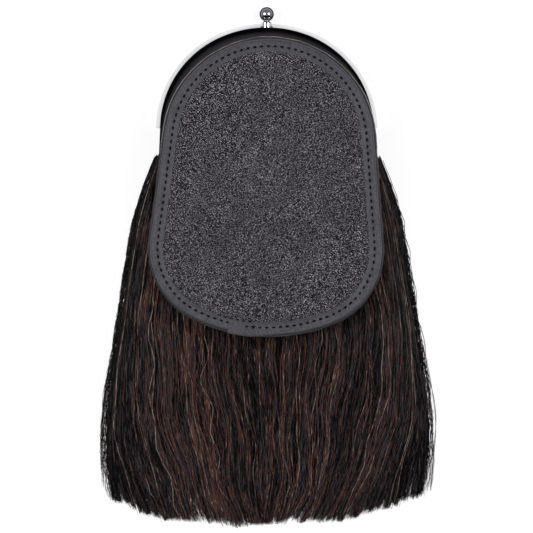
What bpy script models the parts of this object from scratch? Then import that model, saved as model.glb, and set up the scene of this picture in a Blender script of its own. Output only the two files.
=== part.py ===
"""A horsehair dress sporran, lying face down with its leather back up.

Metres, +Z up, the floor at z = 0, and the sporran's own top towards +Y. The pouch is hollow: a leather
front wall, a gusset all round and a back wall with a mouth in it, which the bound back flap covers.
A chrome arch crowns the front, with a ball on its top, and long horsehair grows from the front.
"""

import math
from collections import namedtuple

import bmesh
import bpy

# General sizes
CLEARANCE = 0.0003  # between pieces that touch
SHOULDER_ANGLE = math.radians(65)  # where a panel's top arc passes into its shoulders
FLAP_LEAN = math.radians(-1.75)  # the back was sewn on a little turned, its top towards +X
LEAN_PIVOT = (0.0, 0.0245)

# An outline of five kinds of arcs, from its top on the axis down to its bottom on the axis
Panel = namedtuple("Panel", "top bottom half_width top_radius shoulder_radius corner_radius bottom_radius")
Edge = namedtuple("Edge", "x y angle lap", defaults=(0.0,))
FRONT = Panel(0.1659, -0.0415, 0.0795, 0.0805, 0.0725, 0.0520, 0.1160)
FLAP = Panel(0.1532, -0.0464, 0.0782, 0.0708, 0.0708, 0.0523, 0.1160)

# Heights in the stack, from the floor up
LEATHER = 0.0018  # walls of the pouch
PANEL_LEATHER = 0.0020  # the back flap
BINDING_LEATHER = 0.0008
FRONT_WALL_BASE = 0.0098
POUCH_DEPTH = 0.0358  # from the front wall's outside to the back wall's inside
FLAP_SAG = 0.0010  # how far the flap's edge comes down from its middle
FLAP_SAG_WIDTH = 0.0200

# Chrome arch and its ball
ARCH_END = 0.0944  # height along Y where the arch ends
ARCH_MIDDLE = 0.1245  # lower edge of the crescent, on the axis
ARCH_END_WIDTH = 0.0090
ARCH_METAL = 0.0010
ARCH_BORDER = 0.0028
ARCH_RECESS = 0.0010
RIM_DEPTH = 0.0140
RIM_TURN_IN = 0.0022
BALL_RADIUS = 0.0046
BALL_STAND = 0.0072  # from the arch's top to the ball's middle
NECK_RADIUS = 0.0018
FOOT_RADIUS = 0.0029
BALL_DEPTH = 0.0080  # height above the floor

# Flap, binding, back wall
BINDING_WIDTH = 0.0085
RAW_EDGE = 0.0017  # how far the back wall shows outside the binding
SEAM_SETBACK = 0.0016  # from the back wall's edge in to the gusset
MOUTH_HALF_WIDTH = 0.0520
MOUTH_TOP = 0.1240
MOUTH_BOTTOM = 0.0700
OVERLAP_STEP = 0.0022  # how far the binding's lapped end stands out

# Hair
ROOT_COVER = 0.0055  # how far the arch's crescent covers the highest roots
HAIR_LENGTH = 0.3077  # from the highest roots to the longest tips
HAIR_HALF_WIDTH = 0.1140
HAIR_DEPTH = 0.0270
HIDE_THICKNESS = 0.0020
HIDE_REACH = 0.0240  # how far the hide goes up past the roots, on the axis
HIDE_END_REACH = 0.0040  # the same at its two ends
LOCKS = 30
LOCK_CREASE = 0.0026
TIP_NOTCH = 0.0060  # how far the creases' ends stay behind the longest locks
TIP_SHUFFLE = 0.0021  # how much the locks' own ends differ, either way
TIP_THICKNESS = 0.0035
ROOT_DROP = 0.0560  # how much lower the outermost roots are than the middle ones
ROOT_POWER = 2.2  # how late, going outwards, the line of roots turns down
TIP_CURVE = 0.0250  # how much shorter the outermost hair is at the bottom
TIP_POWER = 3.5
SIDE_THINNING = 0.75  # share of the depth that the outermost hair lacks
SIDE_POWER = 8
UNDER_CREASE = 0.4  # depth of the creases below, as a share of those above
ROOT_RUN = 0.10  # share of a lock's length over which it comes down past the arch

# Sampling of the outlines
TOP_STEPS, SHOULDER_STEPS, SIDE_STEPS, CORNER_STEPS, BOTTOM_STEPS = 5, 9, 3, 9, 4

# The lap in the binding: place along the bottom from the axis, and the share of OVERLAP_STEP there
Lap = namedtuple("Lap", "along share")
LAPS = (
    Lap(-0.0247, 0.0),
    Lap(-0.0243, 1.0),
    Lap(-0.0080, 0.9),
    Lap(0.0060, 0.0),
)

# The gusset rolls in towards the back: share of the pouch's depth, and share of the way to the back's outline
Roll = namedtuple("Roll", "depth blend")
GUSSET_ROLLS = (
    Roll(0.00, 0.00),
    Roll(0.10, 0.00),
    Roll(0.45, 0.10),
    Roll(0.75, 0.38),
    Roll(0.92, 0.72),
    Roll(1.00, 1.00),
)

# The hair from its highest roots to its tips: share of HAIR_LENGTH, HAIR_HALF_WIDTH and HAIR_DEPTH
Fall = namedtuple("Fall", "fall width depth")
HAIR_FALLS = (
    Fall(0.000, 0.580, 0.30),
    Fall(0.115, 0.630, 0.50),
    Fall(0.180, 0.677, 0.80),
    Fall(0.246, 0.745, 0.95),
    Fall(0.325, 0.807, 1.00),
    Fall(0.422, 0.852, 1.00),
    Fall(0.562, 0.910, 1.00),
    Fall(0.721, 0.982, 0.82),
    Fall(0.828, 1.000, 0.66),
    Fall(0.909, 0.987, 0.46),
    Fall(1.000, 0.960, 0.20),
)

# Rows of the hair's grid, as shares of each lock's own length; the first row is the hide's upper edge
HAIR_ROWS = (0.0, 0.025, 0.06, 0.10, 0.17, 0.25, 0.34, 0.44, 0.54, 0.62, 0.70, 0.78, 0.86, 0.93, 0.97, 1.0)
LOCK_SHUFFLE = 2.4  # turns the sine that makes neighbouring locks differ

# Heights worked out from the sizes above
FRONT_WALL_TOP = FRONT_WALL_BASE + LEATHER
GUSSET_BASE = FRONT_WALL_TOP + CLEARANCE
BACK_WALL_BASE = FRONT_WALL_BASE + POUCH_DEPTH
GUSSET_TOP = BACK_WALL_BASE - CLEARANCE
BACK_WALL_TOP = BACK_WALL_BASE + LEATHER
FLAP_BASE = BACK_WALL_TOP + CLEARANCE + BINDING_LEATHER + CLEARANCE + FLAP_SAG
FLAP_MIDDLE = FLAP_BASE + PANEL_LEATHER / 2
HAIR_UNDER_POUCH = FRONT_WALL_BASE - CLEARANCE
BINDING_INSET = BINDING_LEATHER + CLEARANCE
FRONT_INSET = RIM_TURN_IN + ARCH_METAL + CLEARANCE
HAIR_TOP = ARCH_MIDDLE + ROOT_COVER


def clear_scene():
    for thing in list(bpy.data.objects):
        bpy.data.objects.remove(thing, do_unlink=True)


def finish(name, colour, roughness, metallic=0.0):
    """A Principled material in one colour."""
    material = bpy.data.materials.new(name)
    material.use_nodes = True
    shader = material.node_tree.nodes["Principled BSDF"]
    shader.inputs["Base Color"].default_value = (*colour, 1.0)
    shader.inputs["Roughness"].default_value = roughness
    shader.inputs["Metallic"].default_value = metallic
    return material


def blend(a, b, share):
    return a + (b - a) * share


def eased(share):
    """0 to 1 with level ends."""
    share = min(max(share, 0.0), 1.0)
    return share * share * (3 - 2 * share)


def arc(centre, radius, start, end, steps):
    """Edge points on an arc, from start up to but not including end."""
    angles = [blend(start, end, i / steps) for i in range(steps)]
    return [Edge(centre[0] + radius * math.cos(a), centre[1] + radius * math.sin(a), a) for a in angles]


def panel_side(panel):
    """The right side of a panel's outline, from its top to the end of its corner arc, and the angle there."""
    top_y = panel.top - panel.top_radius
    reach = panel.top_radius - panel.shoulder_radius
    shoulder = (reach * math.cos(SHOULDER_ANGLE), top_y + reach * math.sin(SHOULDER_ANGLE))
    corner_x = panel.half_width - panel.corner_radius
    drop = math.sqrt((panel.bottom_radius - panel.corner_radius) ** 2 - corner_x**2)
    corner = (corner_x, panel.bottom + panel.bottom_radius - drop)
    dx, dy = shoulder[0] - corner[0], shoulder[1] - corner[1]
    growth = panel.corner_radius - panel.shoulder_radius
    flare = math.asin(growth / math.hypot(dx, dy)) - math.atan2(dx, dy)
    turn = math.atan2(-drop, corner_x)
    points = arc((0.0, top_y), panel.top_radius, math.pi / 2, SHOULDER_ANGLE, TOP_STEPS)
    points += arc(shoulder, panel.shoulder_radius, SHOULDER_ANGLE, flare, SHOULDER_STEPS)
    upper = arc(shoulder, panel.shoulder_radius, flare, flare, 1)[0]
    lower = arc(corner, panel.corner_radius, flare, flare, 1)[0]
    for i in range(SIDE_STEPS):
        share = i / SIDE_STEPS
        points.append(Edge(blend(upper.x, lower.x, share), blend(upper.y, lower.y, share), flare))
    points += arc(corner, panel.corner_radius, flare, turn, CORNER_STEPS)
    points += arc(corner, panel.corner_radius, turn, turn, 1)
    return points, turn


def bottom_point(panel, along, lap=0.0):
    """A point on the bottom arc, this far along it from the axis."""
    angle = -math.pi / 2 + along / panel.bottom_radius
    middle_y = panel.bottom + panel.bottom_radius
    return Edge(panel.bottom_radius * math.cos(angle), middle_y + panel.bottom_radius * math.sin(angle), angle, lap)


def panel_points(panel):
    """The whole outline, clockwise from the top, with the binding's lap marked on the bottom arc."""
    right, turn = panel_side(panel)
    left = [Edge(-p.x, p.y, math.pi - p.angle) for p in reversed(right[1:])]
    span = panel.bottom_radius * (turn + math.pi / 2)
    shares = [i / BOTTOM_STEPS for i in range(1, BOTTOM_STEPS)]
    before = [bottom_point(panel, blend(span, LAPS[-1].along, share)) for share in shares]
    laps = [bottom_point(panel, lap.along, lap.share) for lap in reversed(LAPS)]
    after = [bottom_point(panel, blend(LAPS[0].along, -span, share)) for share in shares]
    return right + before + laps + after + left


def leaned(x, y):
    """A point of the back, turned with it."""
    dx, dy = x - LEAN_PIVOT[0], y - LEAN_PIVOT[1]
    cos, sin = math.cos(FLAP_LEAN), math.sin(FLAP_LEAN)
    return LEAN_PIVOT[0] + dx * cos - dy * sin, LEAN_PIVOT[1] + dx * sin + dy * cos


def ring(panel, grow, height, lean=False):
    """One loop of points: the panel's outline moved out by grow, at a height."""
    flat = [(p.x + grow * math.cos(p.angle), p.y + grow * math.sin(p.angle)) for p in panel_points(panel)]
    return [(*(leaned(x, y) if lean else (x, y)), height) for x, y in flat]


def mixed(ring_a, ring_b, share, height):
    return [(blend(a[0], b[0], share), blend(a[1], b[1], share), height) for a, b in zip(ring_a, ring_b)]


def new_object(name, mesh_parts, material):
    """A smooth-shaded object from a filled bmesh, with its faces turned outwards."""
    bmesh.ops.recalc_face_normals(mesh_parts, faces=mesh_parts.faces)
    mesh = bpy.data.meshes.new(name)
    mesh_parts.to_mesh(mesh)
    mesh_parts.free()
    if material:
        mesh.materials.append(material)
    mesh.shade_smooth()
    mesh.set_sharp_from_angle(angle=math.radians(35))
    thing = bpy.data.objects.new(name, mesh)
    bpy.context.collection.objects.link(thing)
    return thing


def skin(name, rings, material, capped):
    """A solid through rings of equal count: capped at both ends, or closed from the last ring to the first."""
    parts = bmesh.new()
    loops = [[parts.verts.new(point) for point in points] for points in rings]
    pairs = list(zip(loops, loops[1:]))
    if not capped:
        pairs.append((loops[-1], loops[0]))
    for lower, upper in pairs:
        for i in range(len(lower)):
            j = (i + 1) % len(lower)
            parts.faces.new((lower[i], lower[j], upper[j], upper[i]))
    if capped:
        parts.faces.new(loops[0])
        parts.faces.new(loops[-1])
    return new_object(name, parts, material)


def make_front_wall(material):
    """The plain leather front, inside the arch's rim."""
    rings = [ring(FRONT, -FRONT_INSET, height) for height in (FRONT_WALL_BASE, FRONT_WALL_TOP)]
    return skin("front_wall", rings, material, capped=True)


def gusset_ring(depth, share, inset):
    """The gusset's outline at a share of the pouch's depth, moved in by inset."""
    front = ring(FRONT, -FRONT_INSET - inset, 0.0)
    back = ring(FLAP, RAW_EDGE - SEAM_SETBACK - inset, 0.0, lean=True)
    return mixed(front, back, share, blend(GUSSET_BASE, GUSSET_TOP, depth))


def make_gusset(material):
    """The side wall: from the front's outline it rolls in, or out, to the leaning outline of the back."""
    outer = [gusset_ring(roll.depth, roll.blend, 0.0) for roll in GUSSET_ROLLS]
    inner = [gusset_ring(roll.depth, roll.blend, LEATHER) for roll in reversed(GUSSET_ROLLS)]
    return skin("gusset", outer + inner, material, capped=False)


def mouth_ring(height):
    """The mouth's edge: a rounded slot with one point for each point of the back wall's outline."""
    middle = (MOUTH_TOP + MOUTH_BOTTOM) / 2
    half_height = (MOUTH_TOP - MOUTH_BOTTOM) / 2
    points = []
    for x, y, _ in ring(FLAP, 0.0, 0.0):
        angle = math.atan2((y - middle) / half_height, x / MOUTH_HALF_WIDTH)
        cos, sin = math.cos(angle), math.sin(angle)
        px = MOUTH_HALF_WIDTH * math.copysign(math.sqrt(abs(cos)), cos)
        py = middle + half_height * math.copysign(math.sqrt(abs(sin)), sin)
        points.append((*leaned(px, py), height))
    return points


def make_back_wall(material):
    """The second leather layer: it shows as a thin edge round the flap, and holds the pouch's mouth."""
    outline = [ring(FLAP, RAW_EDGE, height, lean=True) for height in (BACK_WALL_BASE, BACK_WALL_TOP)]
    mouth = [mouth_ring(height) for height in (BACK_WALL_TOP, BACK_WALL_BASE)]
    return skin("back_wall", outline + mouth, material, capped=False)


def flap_height(inward):
    """Middle of the flap's thickness, this far in from the binding's edge."""
    near_edge = 1 - min(max(inward, 0.0) / FLAP_SAG_WIDTH, 1.0)
    return FLAP_MIDDLE - FLAP_SAG * near_edge**2


def make_back_flap(material):
    """The pebbled panel, flat in its middle and coming down a little to its edge."""
    insets = (FLAP_SAG_WIDTH, FLAP_SAG_WIDTH * 0.6, BINDING_WIDTH * 0.6, BINDING_INSET)
    half = PANEL_LEATHER / 2
    under = [ring(FLAP, -d, flap_height(d) - half, lean=True) for d in insets]
    over = [ring(FLAP, -d, flap_height(d) + half, lean=True) for d in reversed(insets)]
    return skin("back_flap", under + over, material, capped=True)


def binding_profile():
    """The folded strip's section: distance in from its outer edge, and height from the flap's middle."""
    inside = PANEL_LEATHER / 2 + CLEARANCE
    outside = inside + BINDING_LEATHER
    soft = BINDING_LEATHER / 2
    return (
        (BINDING_WIDTH, inside),
        (BINDING_WIDTH, outside - soft),
        (BINDING_WIDTH - soft, outside),
        (4 * soft, outside),
        (soft, outside - 2 * soft),
        (0.0, 0.0),
        (soft, -outside + 2 * soft),
        (4 * soft, -outside),
        (BINDING_WIDTH, -outside),
        (BINDING_WIDTH, -inside),
        (BINDING_INSET, -inside),
        (BINDING_INSET - CLEARANCE, 0.0),
        (BINDING_INSET, inside),
    )


def make_flap_binding(material):
    """The strip folded round the flap's edge; where its ends lap, the outer one stands out."""
    rings = []
    for inward, height in binding_profile():
        outer_side = inward < BINDING_INSET - CLEARANCE / 2
        loop = []
        for p in panel_points(FLAP):
            grow = (p.lap * OVERLAP_STEP if outer_side else 0.0) - inward
            place = leaned(p.x + grow * math.cos(p.angle), p.y + grow * math.sin(p.angle))
            loop.append((*place, flap_height(inward) + height))
        rings.append(loop)
    return skin("flap_binding", rings, material, capped=False)


def arch_outer():
    """Points along the arch's outer edge, left end to right end."""
    side, _ = panel_side(FRONT)
    right = [(p.x, p.y) for p in side if p.y > ARCH_END]
    end_x = next(p.x for p in side if p.y <= ARCH_END)
    whole = [(-x, y) for x, y in reversed(right[1:])] + right
    return [(-end_x, ARCH_END)] + whole + [(end_x, ARCH_END)]


def arch_inner(outer):
    """The crescent's lower edge: one arc, with a point for each point of the outer edge."""
    half = outer[-1][0] - ARCH_END_WIDTH
    rise = ARCH_MIDDLE - ARCH_END
    radius = (half**2 + rise**2) / (2 * rise)
    end_angle = math.asin(half / radius)
    centre_y = ARCH_MIDDLE - radius
    points = []
    for i in range(len(outer)):
        angle = blend(-end_angle, end_angle, i / (len(outer) - 1))
        points.append((radius * math.sin(angle), centre_y + radius * math.cos(angle)))
    return points


def arch_section(width, recess):
    """The crescent's section: distance in from the outer edge, and height above the floor."""
    plate = recess + ARCH_METAL
    border = ARCH_BORDER
    soft = ARCH_METAL * 0.7
    return (
        (soft, 0.0),
        (0.0, soft),
        (0.0, border),
        (RIM_TURN_IN, RIM_DEPTH),
        (RIM_TURN_IN + ARCH_METAL, RIM_DEPTH),
        (ARCH_METAL, border + plate / 2),
        (border, plate),
        (width, plate),
        (width, soft),
        (width - soft, 0.0),
        (width - border, 0.0),
        (width - border - soft, recess),
        (border + soft, recess),
        (border, 0.0),
    )


def make_cantle(material):
    """The chrome arch: a crescent with a raised border in front, and a rim turned back over the pouch."""
    outer = arch_outer()
    inner = arch_inner(outer)
    rings = []
    for i, ((ox, oy), (ix, iy)) in enumerate(zip(outer, inner)):
        width = math.hypot(ix - ox, iy - oy)
        at_end = i in (0, len(outer) - 1)
        section = arch_section(width, ARCH_RECESS * (0.1 if at_end else 1.0))
        rings.append([(blend(ox, ix, d / width), blend(oy, iy, d / width), z) for d, z in section])
    return skin("cantle", rings, material, capped=True)


def rim_back(height):
    """How far the arch's outer face has turned in at this height."""
    return RIM_TURN_IN * max(height - ARCH_BORDER, 0.0) / (RIM_DEPTH - ARCH_BORDER)


def make_finial(material):
    """The ball on its waisted neck, turned about Y, its foot shaped to the arch's sloping rim."""
    sides, rows = 16, 9
    neck_top = BALL_STAND - math.sqrt(BALL_RADIUS**2 - NECK_RADIUS**2)
    profile = [(None, FOOT_RADIUS), (0.0011, FOOT_RADIUS * 0.93), (neck_top * 0.62, NECK_RADIUS)]
    low_angle = -math.acos(NECK_RADIUS / BALL_RADIUS)
    for i in range(rows):
        angle = blend(low_angle, math.pi / 2 * 0.93, i / (rows - 1))
        profile.append((BALL_STAND + BALL_RADIUS * math.sin(angle), BALL_RADIUS * math.cos(angle)))
    rings = []
    for up, radius in profile:
        loop = []
        for i in range(sides):
            turn = 2 * math.pi * i / sides
            z = BALL_DEPTH + radius * math.sin(turn)
            seat = FRONT.top - rim_back(z) + CLEARANCE
            loop.append((radius * math.cos(turn), seat if up is None else FRONT.top + up, z))
        rings.append(loop)
    return skin("finial", rings, material, capped=True)


def fall_at(share, column):
    """One column of HAIR_FALLS at a share of the fall, with smooth joints."""
    rows = HAIR_FALLS
    i = max(n for n in range(len(rows) - 1) if rows[n].fall <= max(share, 0.0))
    values = [getattr(rows[min(max(n, 0), len(rows) - 1)], column) for n in (i - 1, i, i + 1, i + 2)]
    t = min((share - rows[i].fall) / (rows[i + 1].fall - rows[i].fall), 1.0)
    a, b, c, d = values
    return b + 0.5 * t * (c - a + t * (2 * a - 5 * b + 4 * c - d + t * (3 * (b - c) + d - a)))


def root_line(side):
    """Height along Y of the roots: highest on the axis, lower towards each side."""
    return HAIR_TOP - ROOT_DROP * side**ROOT_POWER


def hair_surfaces(across, row, lock_number, crest):
    """The hair's upper and lower point at one place: across from -1 to 1, row from 0 to 1."""
    side = abs(across)
    y_of_roots = root_line(side)
    short = TIP_SHUFFLE * (1 + math.sin(lock_number * LOCK_SHUFFLE)) if crest else TIP_NOTCH
    tip_y = HAIR_TOP - HAIR_LENGTH + TIP_CURVE * side**TIP_POWER + short
    y = blend(y_of_roots, tip_y, row)
    share = (HAIR_TOP - y) / HAIR_LENGTH
    x = across * HAIR_HALF_WIDTH * fall_at(share, "width")
    depth = HAIR_DEPTH * fall_at(share, "depth") * (1 - SIDE_THINNING * side**SIDE_POWER)
    crease = 0.0 if crest else LOCK_CREASE * min(2 * depth / HAIR_DEPTH, 1.0)
    under = 0.0 if crest else LOCK_CREASE * UNDER_CREASE * eased(row / ROOT_RUN)
    behind_arch = ARCH_RECESS + ARCH_METAL + 2 * CLEARANCE
    low = under + behind_arch * (1 - eased((row / ROOT_RUN - 0.3) / 0.7))
    return (x, y, max(depth - crease, low + TIP_THICKNESS)), (x, y, low)


def hide_edge(across):
    """The hide's upper edge, under the chrome crescent."""
    side = abs(across)
    y_of_roots = root_line(side)
    y = y_of_roots + blend(HIDE_REACH, HIDE_END_REACH, side**2)
    x = across * HAIR_HALF_WIDTH * fall_at((HAIR_TOP - y_of_roots) / HAIR_LENGTH, "width")
    return (x, y, HAIR_UNDER_POUCH + HIDE_THICKNESS), (x, y, HAIR_UNDER_POUCH - HIDE_THICKNESS)


def pouch_room():
    """A cutter: the room that the pouch takes up in the hair, with its clearance."""
    rings = [gusset_ring(roll.depth, roll.blend, -2 * CLEARANCE) for roll in GUSSET_ROLLS]
    rings.insert(0, [(x, y, HAIR_UNDER_POUCH) for x, y, _ in rings[0]])
    cutter = skin("pouch_room", rings, None, capped=True)
    cutter.hide_render = True
    cutter.display_type = "WIRE"
    return cutter


def make_hair(material):
    """Locks fused to the hide: a closed grid whose columns are the locks' crests and the creases between."""
    columns = 2 * LOCKS + 1
    parts = bmesh.new()
    upper, lower = [], []
    for column in range(columns):
        across = 2 * column / (columns - 1) - 1
        crest = column % 2 == 1
        places = [hide_edge(across)]
        places += [hair_surfaces(across, row, column // 2, crest) for row in HAIR_ROWS]
        upper.append([parts.verts.new(top) for top, _ in places])
        lower.append([parts.verts.new(low) for _, low in places])
    rows = len(HAIR_ROWS) + 1
    for c in range(columns - 1):
        for r in range(rows - 1):
            parts.faces.new((upper[c][r], upper[c][r + 1], upper[c + 1][r + 1], upper[c + 1][r]))
            parts.faces.new((lower[c][r], lower[c + 1][r], lower[c + 1][r + 1], lower[c][r + 1]))
        for r in (0, rows - 1):
            parts.faces.new((upper[c][r], upper[c + 1][r], lower[c + 1][r], lower[c][r]))
    for c in (0, columns - 1):
        for r in range(rows - 1):
            parts.faces.new((upper[c][r], upper[c][r + 1], lower[c][r + 1], lower[c][r]))
    hair = new_object("hair", parts, material)
    cut = hair.modifiers.new("room for the pouch", "BOOLEAN")
    cut.operation = "DIFFERENCE"
    cut.object = pouch_room()
    return hair


def main():
    clear_scene()
    chrome = finish("chrome", (0.80, 0.81, 0.83), 0.08, 1.0)
    smooth_leather = finish("smooth_leather", (0.030, 0.029, 0.032), 0.45)
    pebbled_leather = finish("pebbled_leather", (0.040, 0.038, 0.042), 0.5)
    horse_hair = finish("horse_hair", (0.022, 0.015, 0.014), 0.4)
    make_cantle(chrome)
    make_finial(chrome)
    make_front_wall(smooth_leather)
    make_gusset(smooth_leather)
    make_back_wall(smooth_leather)
    make_back_flap(pebbled_leather)
    make_flap_binding(smooth_leather)
    make_hair(horse_hair)


main()
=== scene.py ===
import math
from collections import namedtuple

import bmesh
import bpy
import numpy as np
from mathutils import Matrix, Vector


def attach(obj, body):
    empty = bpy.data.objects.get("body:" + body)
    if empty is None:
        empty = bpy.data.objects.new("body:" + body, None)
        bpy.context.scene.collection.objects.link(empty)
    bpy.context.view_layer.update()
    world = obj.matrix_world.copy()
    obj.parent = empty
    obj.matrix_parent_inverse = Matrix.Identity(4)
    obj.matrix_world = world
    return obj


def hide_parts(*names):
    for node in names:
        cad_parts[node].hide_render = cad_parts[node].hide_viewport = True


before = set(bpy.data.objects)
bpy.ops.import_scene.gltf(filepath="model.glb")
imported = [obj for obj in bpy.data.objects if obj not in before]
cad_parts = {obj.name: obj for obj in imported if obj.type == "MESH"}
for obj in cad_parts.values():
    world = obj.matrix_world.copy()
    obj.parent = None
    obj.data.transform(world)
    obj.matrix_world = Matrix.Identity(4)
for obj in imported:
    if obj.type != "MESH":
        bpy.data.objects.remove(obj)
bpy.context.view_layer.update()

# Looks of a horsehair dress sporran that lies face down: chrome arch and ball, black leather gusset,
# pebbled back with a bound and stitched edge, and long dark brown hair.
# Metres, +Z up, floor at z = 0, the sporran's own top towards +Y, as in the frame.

MM = 0.001

# Outlines and heights, the same as in the frame but for the ball, which is a little larger here
SHOULDER_ANGLE = math.radians(65)
FLAP_LEAN = math.radians(-1.75)
LEAN_PIVOT = (0.0, 0.0245)
Panel = namedtuple("Panel", "top bottom half_width top_radius shoulder_radius corner_radius bottom_radius")
FRONT = Panel(0.1659, -0.0415, 0.0795, 0.0805, 0.0725, 0.0520, 0.1160)
FLAP = Panel(0.1532, -0.0464, 0.0782, 0.0708, 0.0708, 0.0523, 0.1160)

CLEARANCE = 0.3 * MM
LEATHER = 1.8 * MM
PANEL_LEATHER = 2.0 * MM
BINDING_LEATHER = 0.8 * MM
FRONT_WALL_BASE = 9.8 * MM
FRONT_WALL_TOP = FRONT_WALL_BASE + LEATHER
GUSSET_BASE = FRONT_WALL_TOP + CLEARANCE
BACK_LAYER_BASE = 45.6 * MM
GUSSET_TOP = BACK_LAYER_BASE - CLEARANCE
BACK_LAYER_TOP = BACK_LAYER_BASE + LEATHER
FLAP_SAG = 1.0 * MM
FLAP_SAG_WIDTH = 20.0 * MM
FLAP_MIDDLE = BACK_LAYER_TOP + 2 * CLEARANCE + BINDING_LEATHER + FLAP_SAG + PANEL_LEATHER / 2
UNDER_POUCH = FRONT_WALL_BASE - CLEARANCE

ARCH_END = 94.4 * MM
ARCH_MIDDLE = 124.5 * MM
ARCH_END_WIDTH = 9.0 * MM
ARCH_METAL = 1.0 * MM
ARCH_BORDER = 2.8 * MM
ARCH_RECESS = 1.0 * MM
RIM_DEPTH = 14.0 * MM
RIM_TURN_IN = 2.2 * MM
RIM_CHAMFER = 1.5 * MM
BALL_RADIUS = 4.9 * MM
BALL_STAND = 6.2 * MM
BALL_HEIGHT = 8.0 * MM
NECK_RADIUS = 2.0 * MM
FOOT_RADIUS = 3.3 * MM
FOOT_RISE = 3.3 * MM  # how much further the neck's foot reaches up the rim
FOOT_LAP = 1.2 * MM  # how far it laps over the rim's lip

BINDING_WIDTH = 8.5 * MM
BINDING_INSET = BINDING_LEATHER + CLEARANCE
RAW_EDGE = 1.7 * MM
SEAM_SETBACK = 1.6 * MM
FRONT_INSET = RIM_TURN_IN + ARCH_METAL + CLEARANCE
MOUTH_HALF_WIDTH = 52.0 * MM
MOUTH_TOP = 124.0 * MM
MOUTH_BOTTOM = 70.0 * MM
OVERLAP_STEP = 2.2 * MM

HAIR_TOP = 130.0 * MM
HAIR_LENGTH = 307.7 * MM
HAIR_HALF_WIDTH = 114.0 * MM
HAIR_DEPTH = 27.0 * MM
ROOT_DROP = 56.0 * MM
ROOT_POWER = 2.2
SIDE_THINNING = 0.75
SIDE_POWER = 8
BEHIND_ARCH = ARCH_RECESS + ARCH_METAL + 2 * CLEARANCE
ROOT_RUN = 0.10

# Relief of the leather
SIDE_FOLD = 0.35 * MM
BACK_HOLLOW = 0.35 * MM
BINDING_CROWN = 0.16 * MM
BINDING_UNEVEN = 0.07 * MM
ROW_GROOVE = 0.10 * MM
GROOVE_WIDTH = 0.95 * MM
STITCH_PULL = 0.26 * MM
HOLE_WIDTH = 0.7 * MM
LAP_RISE = 0.55 * MM
SKIVED_EDGE = 0.12 * MM  # thickness at the binding's pared inner edge
SKIVED_BAND = 3.4 * MM  # width of the pared band

# The binding's lap: place along the bottom from the axis, and share of OVERLAP_STEP there
Lap = namedtuple("Lap", "along share")
LAPS = (Lap(-24.6 * MM, 0.0), Lap(-24.3 * MM, 1.0), Lap(-8.0 * MM, 0.9), Lap(6.0 * MM, 0.0))

# The gusset from front to back: share of the pouch's depth, share of the way to the back's outline, and
# how far its soft folds stand out there
Roll = namedtuple("Roll", "depth blend fold")
ROLLS = (
    Roll(0.00, 0.00, 0.0),
    Roll(0.10, 0.00, 0.3),
    Roll(0.45, 0.10, 1.0),
    Roll(0.75, 0.38, 0.8),
    Roll(0.92, 0.72, 0.3),
    Roll(1.00, 1.00, 0.0),
)

# The hair from its highest roots to its tips: share of its length, half width and depth
Fall = namedtuple("Fall", "fall width depth")
FALLS = (
    Fall(0.000, 0.580, 0.30),
    Fall(0.115, 0.630, 0.50),
    Fall(0.180, 0.677, 0.80),
    Fall(0.246, 0.745, 0.95),
    Fall(0.325, 0.807, 1.00),
    Fall(0.422, 0.852, 1.00),
    Fall(0.562, 0.910, 1.00),
    Fall(0.721, 0.982, 0.82),
    Fall(0.828, 1.000, 0.66),
    Fall(0.909, 0.987, 0.46),
    Fall(1.000, 0.960, 0.20),
)

# The longest tips: place across the hair, and height along Y. At the right corner they hang lower than in
# the frame, as in the photo.
Tip = namedtuple("Tip", "across y")
TIPS = (
    Tip(-1.00, -0.1480),
    Tip(-0.96, -0.1548),
    Tip(-0.88, -0.1598),
    Tip(-0.78, -0.1680),
    Tip(-0.60, -0.1728),
    Tip(-0.40, -0.1735),
    Tip(-0.20, -0.1776),
    Tip(0.00, -0.1748),
    Tip(0.45, -0.1736),
    Tip(0.56, -0.1700),
    Tip(0.75, -0.1640),
    Tip(0.86, -0.1600),
    Tip(0.93, -0.1540),
    Tip(1.00, -0.1465),
)


# Meshes

def new_piece(name, vertices, faces, material, sharp=40.0):
    """A piece at the origin, smooth except at edges sharper than this many degrees, normals outwards."""
    mesh = bpy.data.meshes.new(name)
    mesh.from_pydata([tuple(v) for v in vertices], [], faces)
    work = bmesh.new()
    work.from_mesh(mesh)
    bmesh.ops.recalc_face_normals(work, faces=work.faces)
    work.to_mesh(mesh)
    work.free()
    mesh.shade_smooth()
    mesh.set_sharp_from_angle(angle=math.radians(sharp))
    mesh.materials.append(material)
    piece = bpy.data.objects.new(name, mesh)
    bpy.context.collection.objects.link(piece)
    return piece


def skin_faces(rows, columns, loop_rows, loop_columns):
    """Quads of a grid of rows × columns, joined up round where they loop."""
    faces = []
    for r in range(rows if loop_rows else rows - 1):
        s = (r + 1) % rows
        for c in range(columns if loop_columns else columns - 1):
            d = (c + 1) % columns
            faces.append((r * columns + c, r * columns + d, s * columns + d, s * columns + c))
    return faces


def skin(name, rings, material, capped, sharp=40.0):
    """A solid through rings of equal count: capped at both ends, or closed from the last to the first."""
    rings = np.asarray(rings, float)
    rows, columns = rings.shape[:2]
    faces = skin_faces(rows, columns, not capped, True)
    if capped:
        faces.append(tuple(range(columns)))
        faces.append(tuple(range((rows - 1) * columns, rows * columns)))
    return new_piece(name, rings.reshape(-1, 3), faces, material, sharp)


def store(piece, name, values):
    """A number for each vertex of a piece."""
    attribute = piece.data.attributes.new(name, "FLOAT", "POINT")
    attribute.data.foreach_set("value", np.asarray(values, np.float32).ravel())


# Outlines

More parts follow.
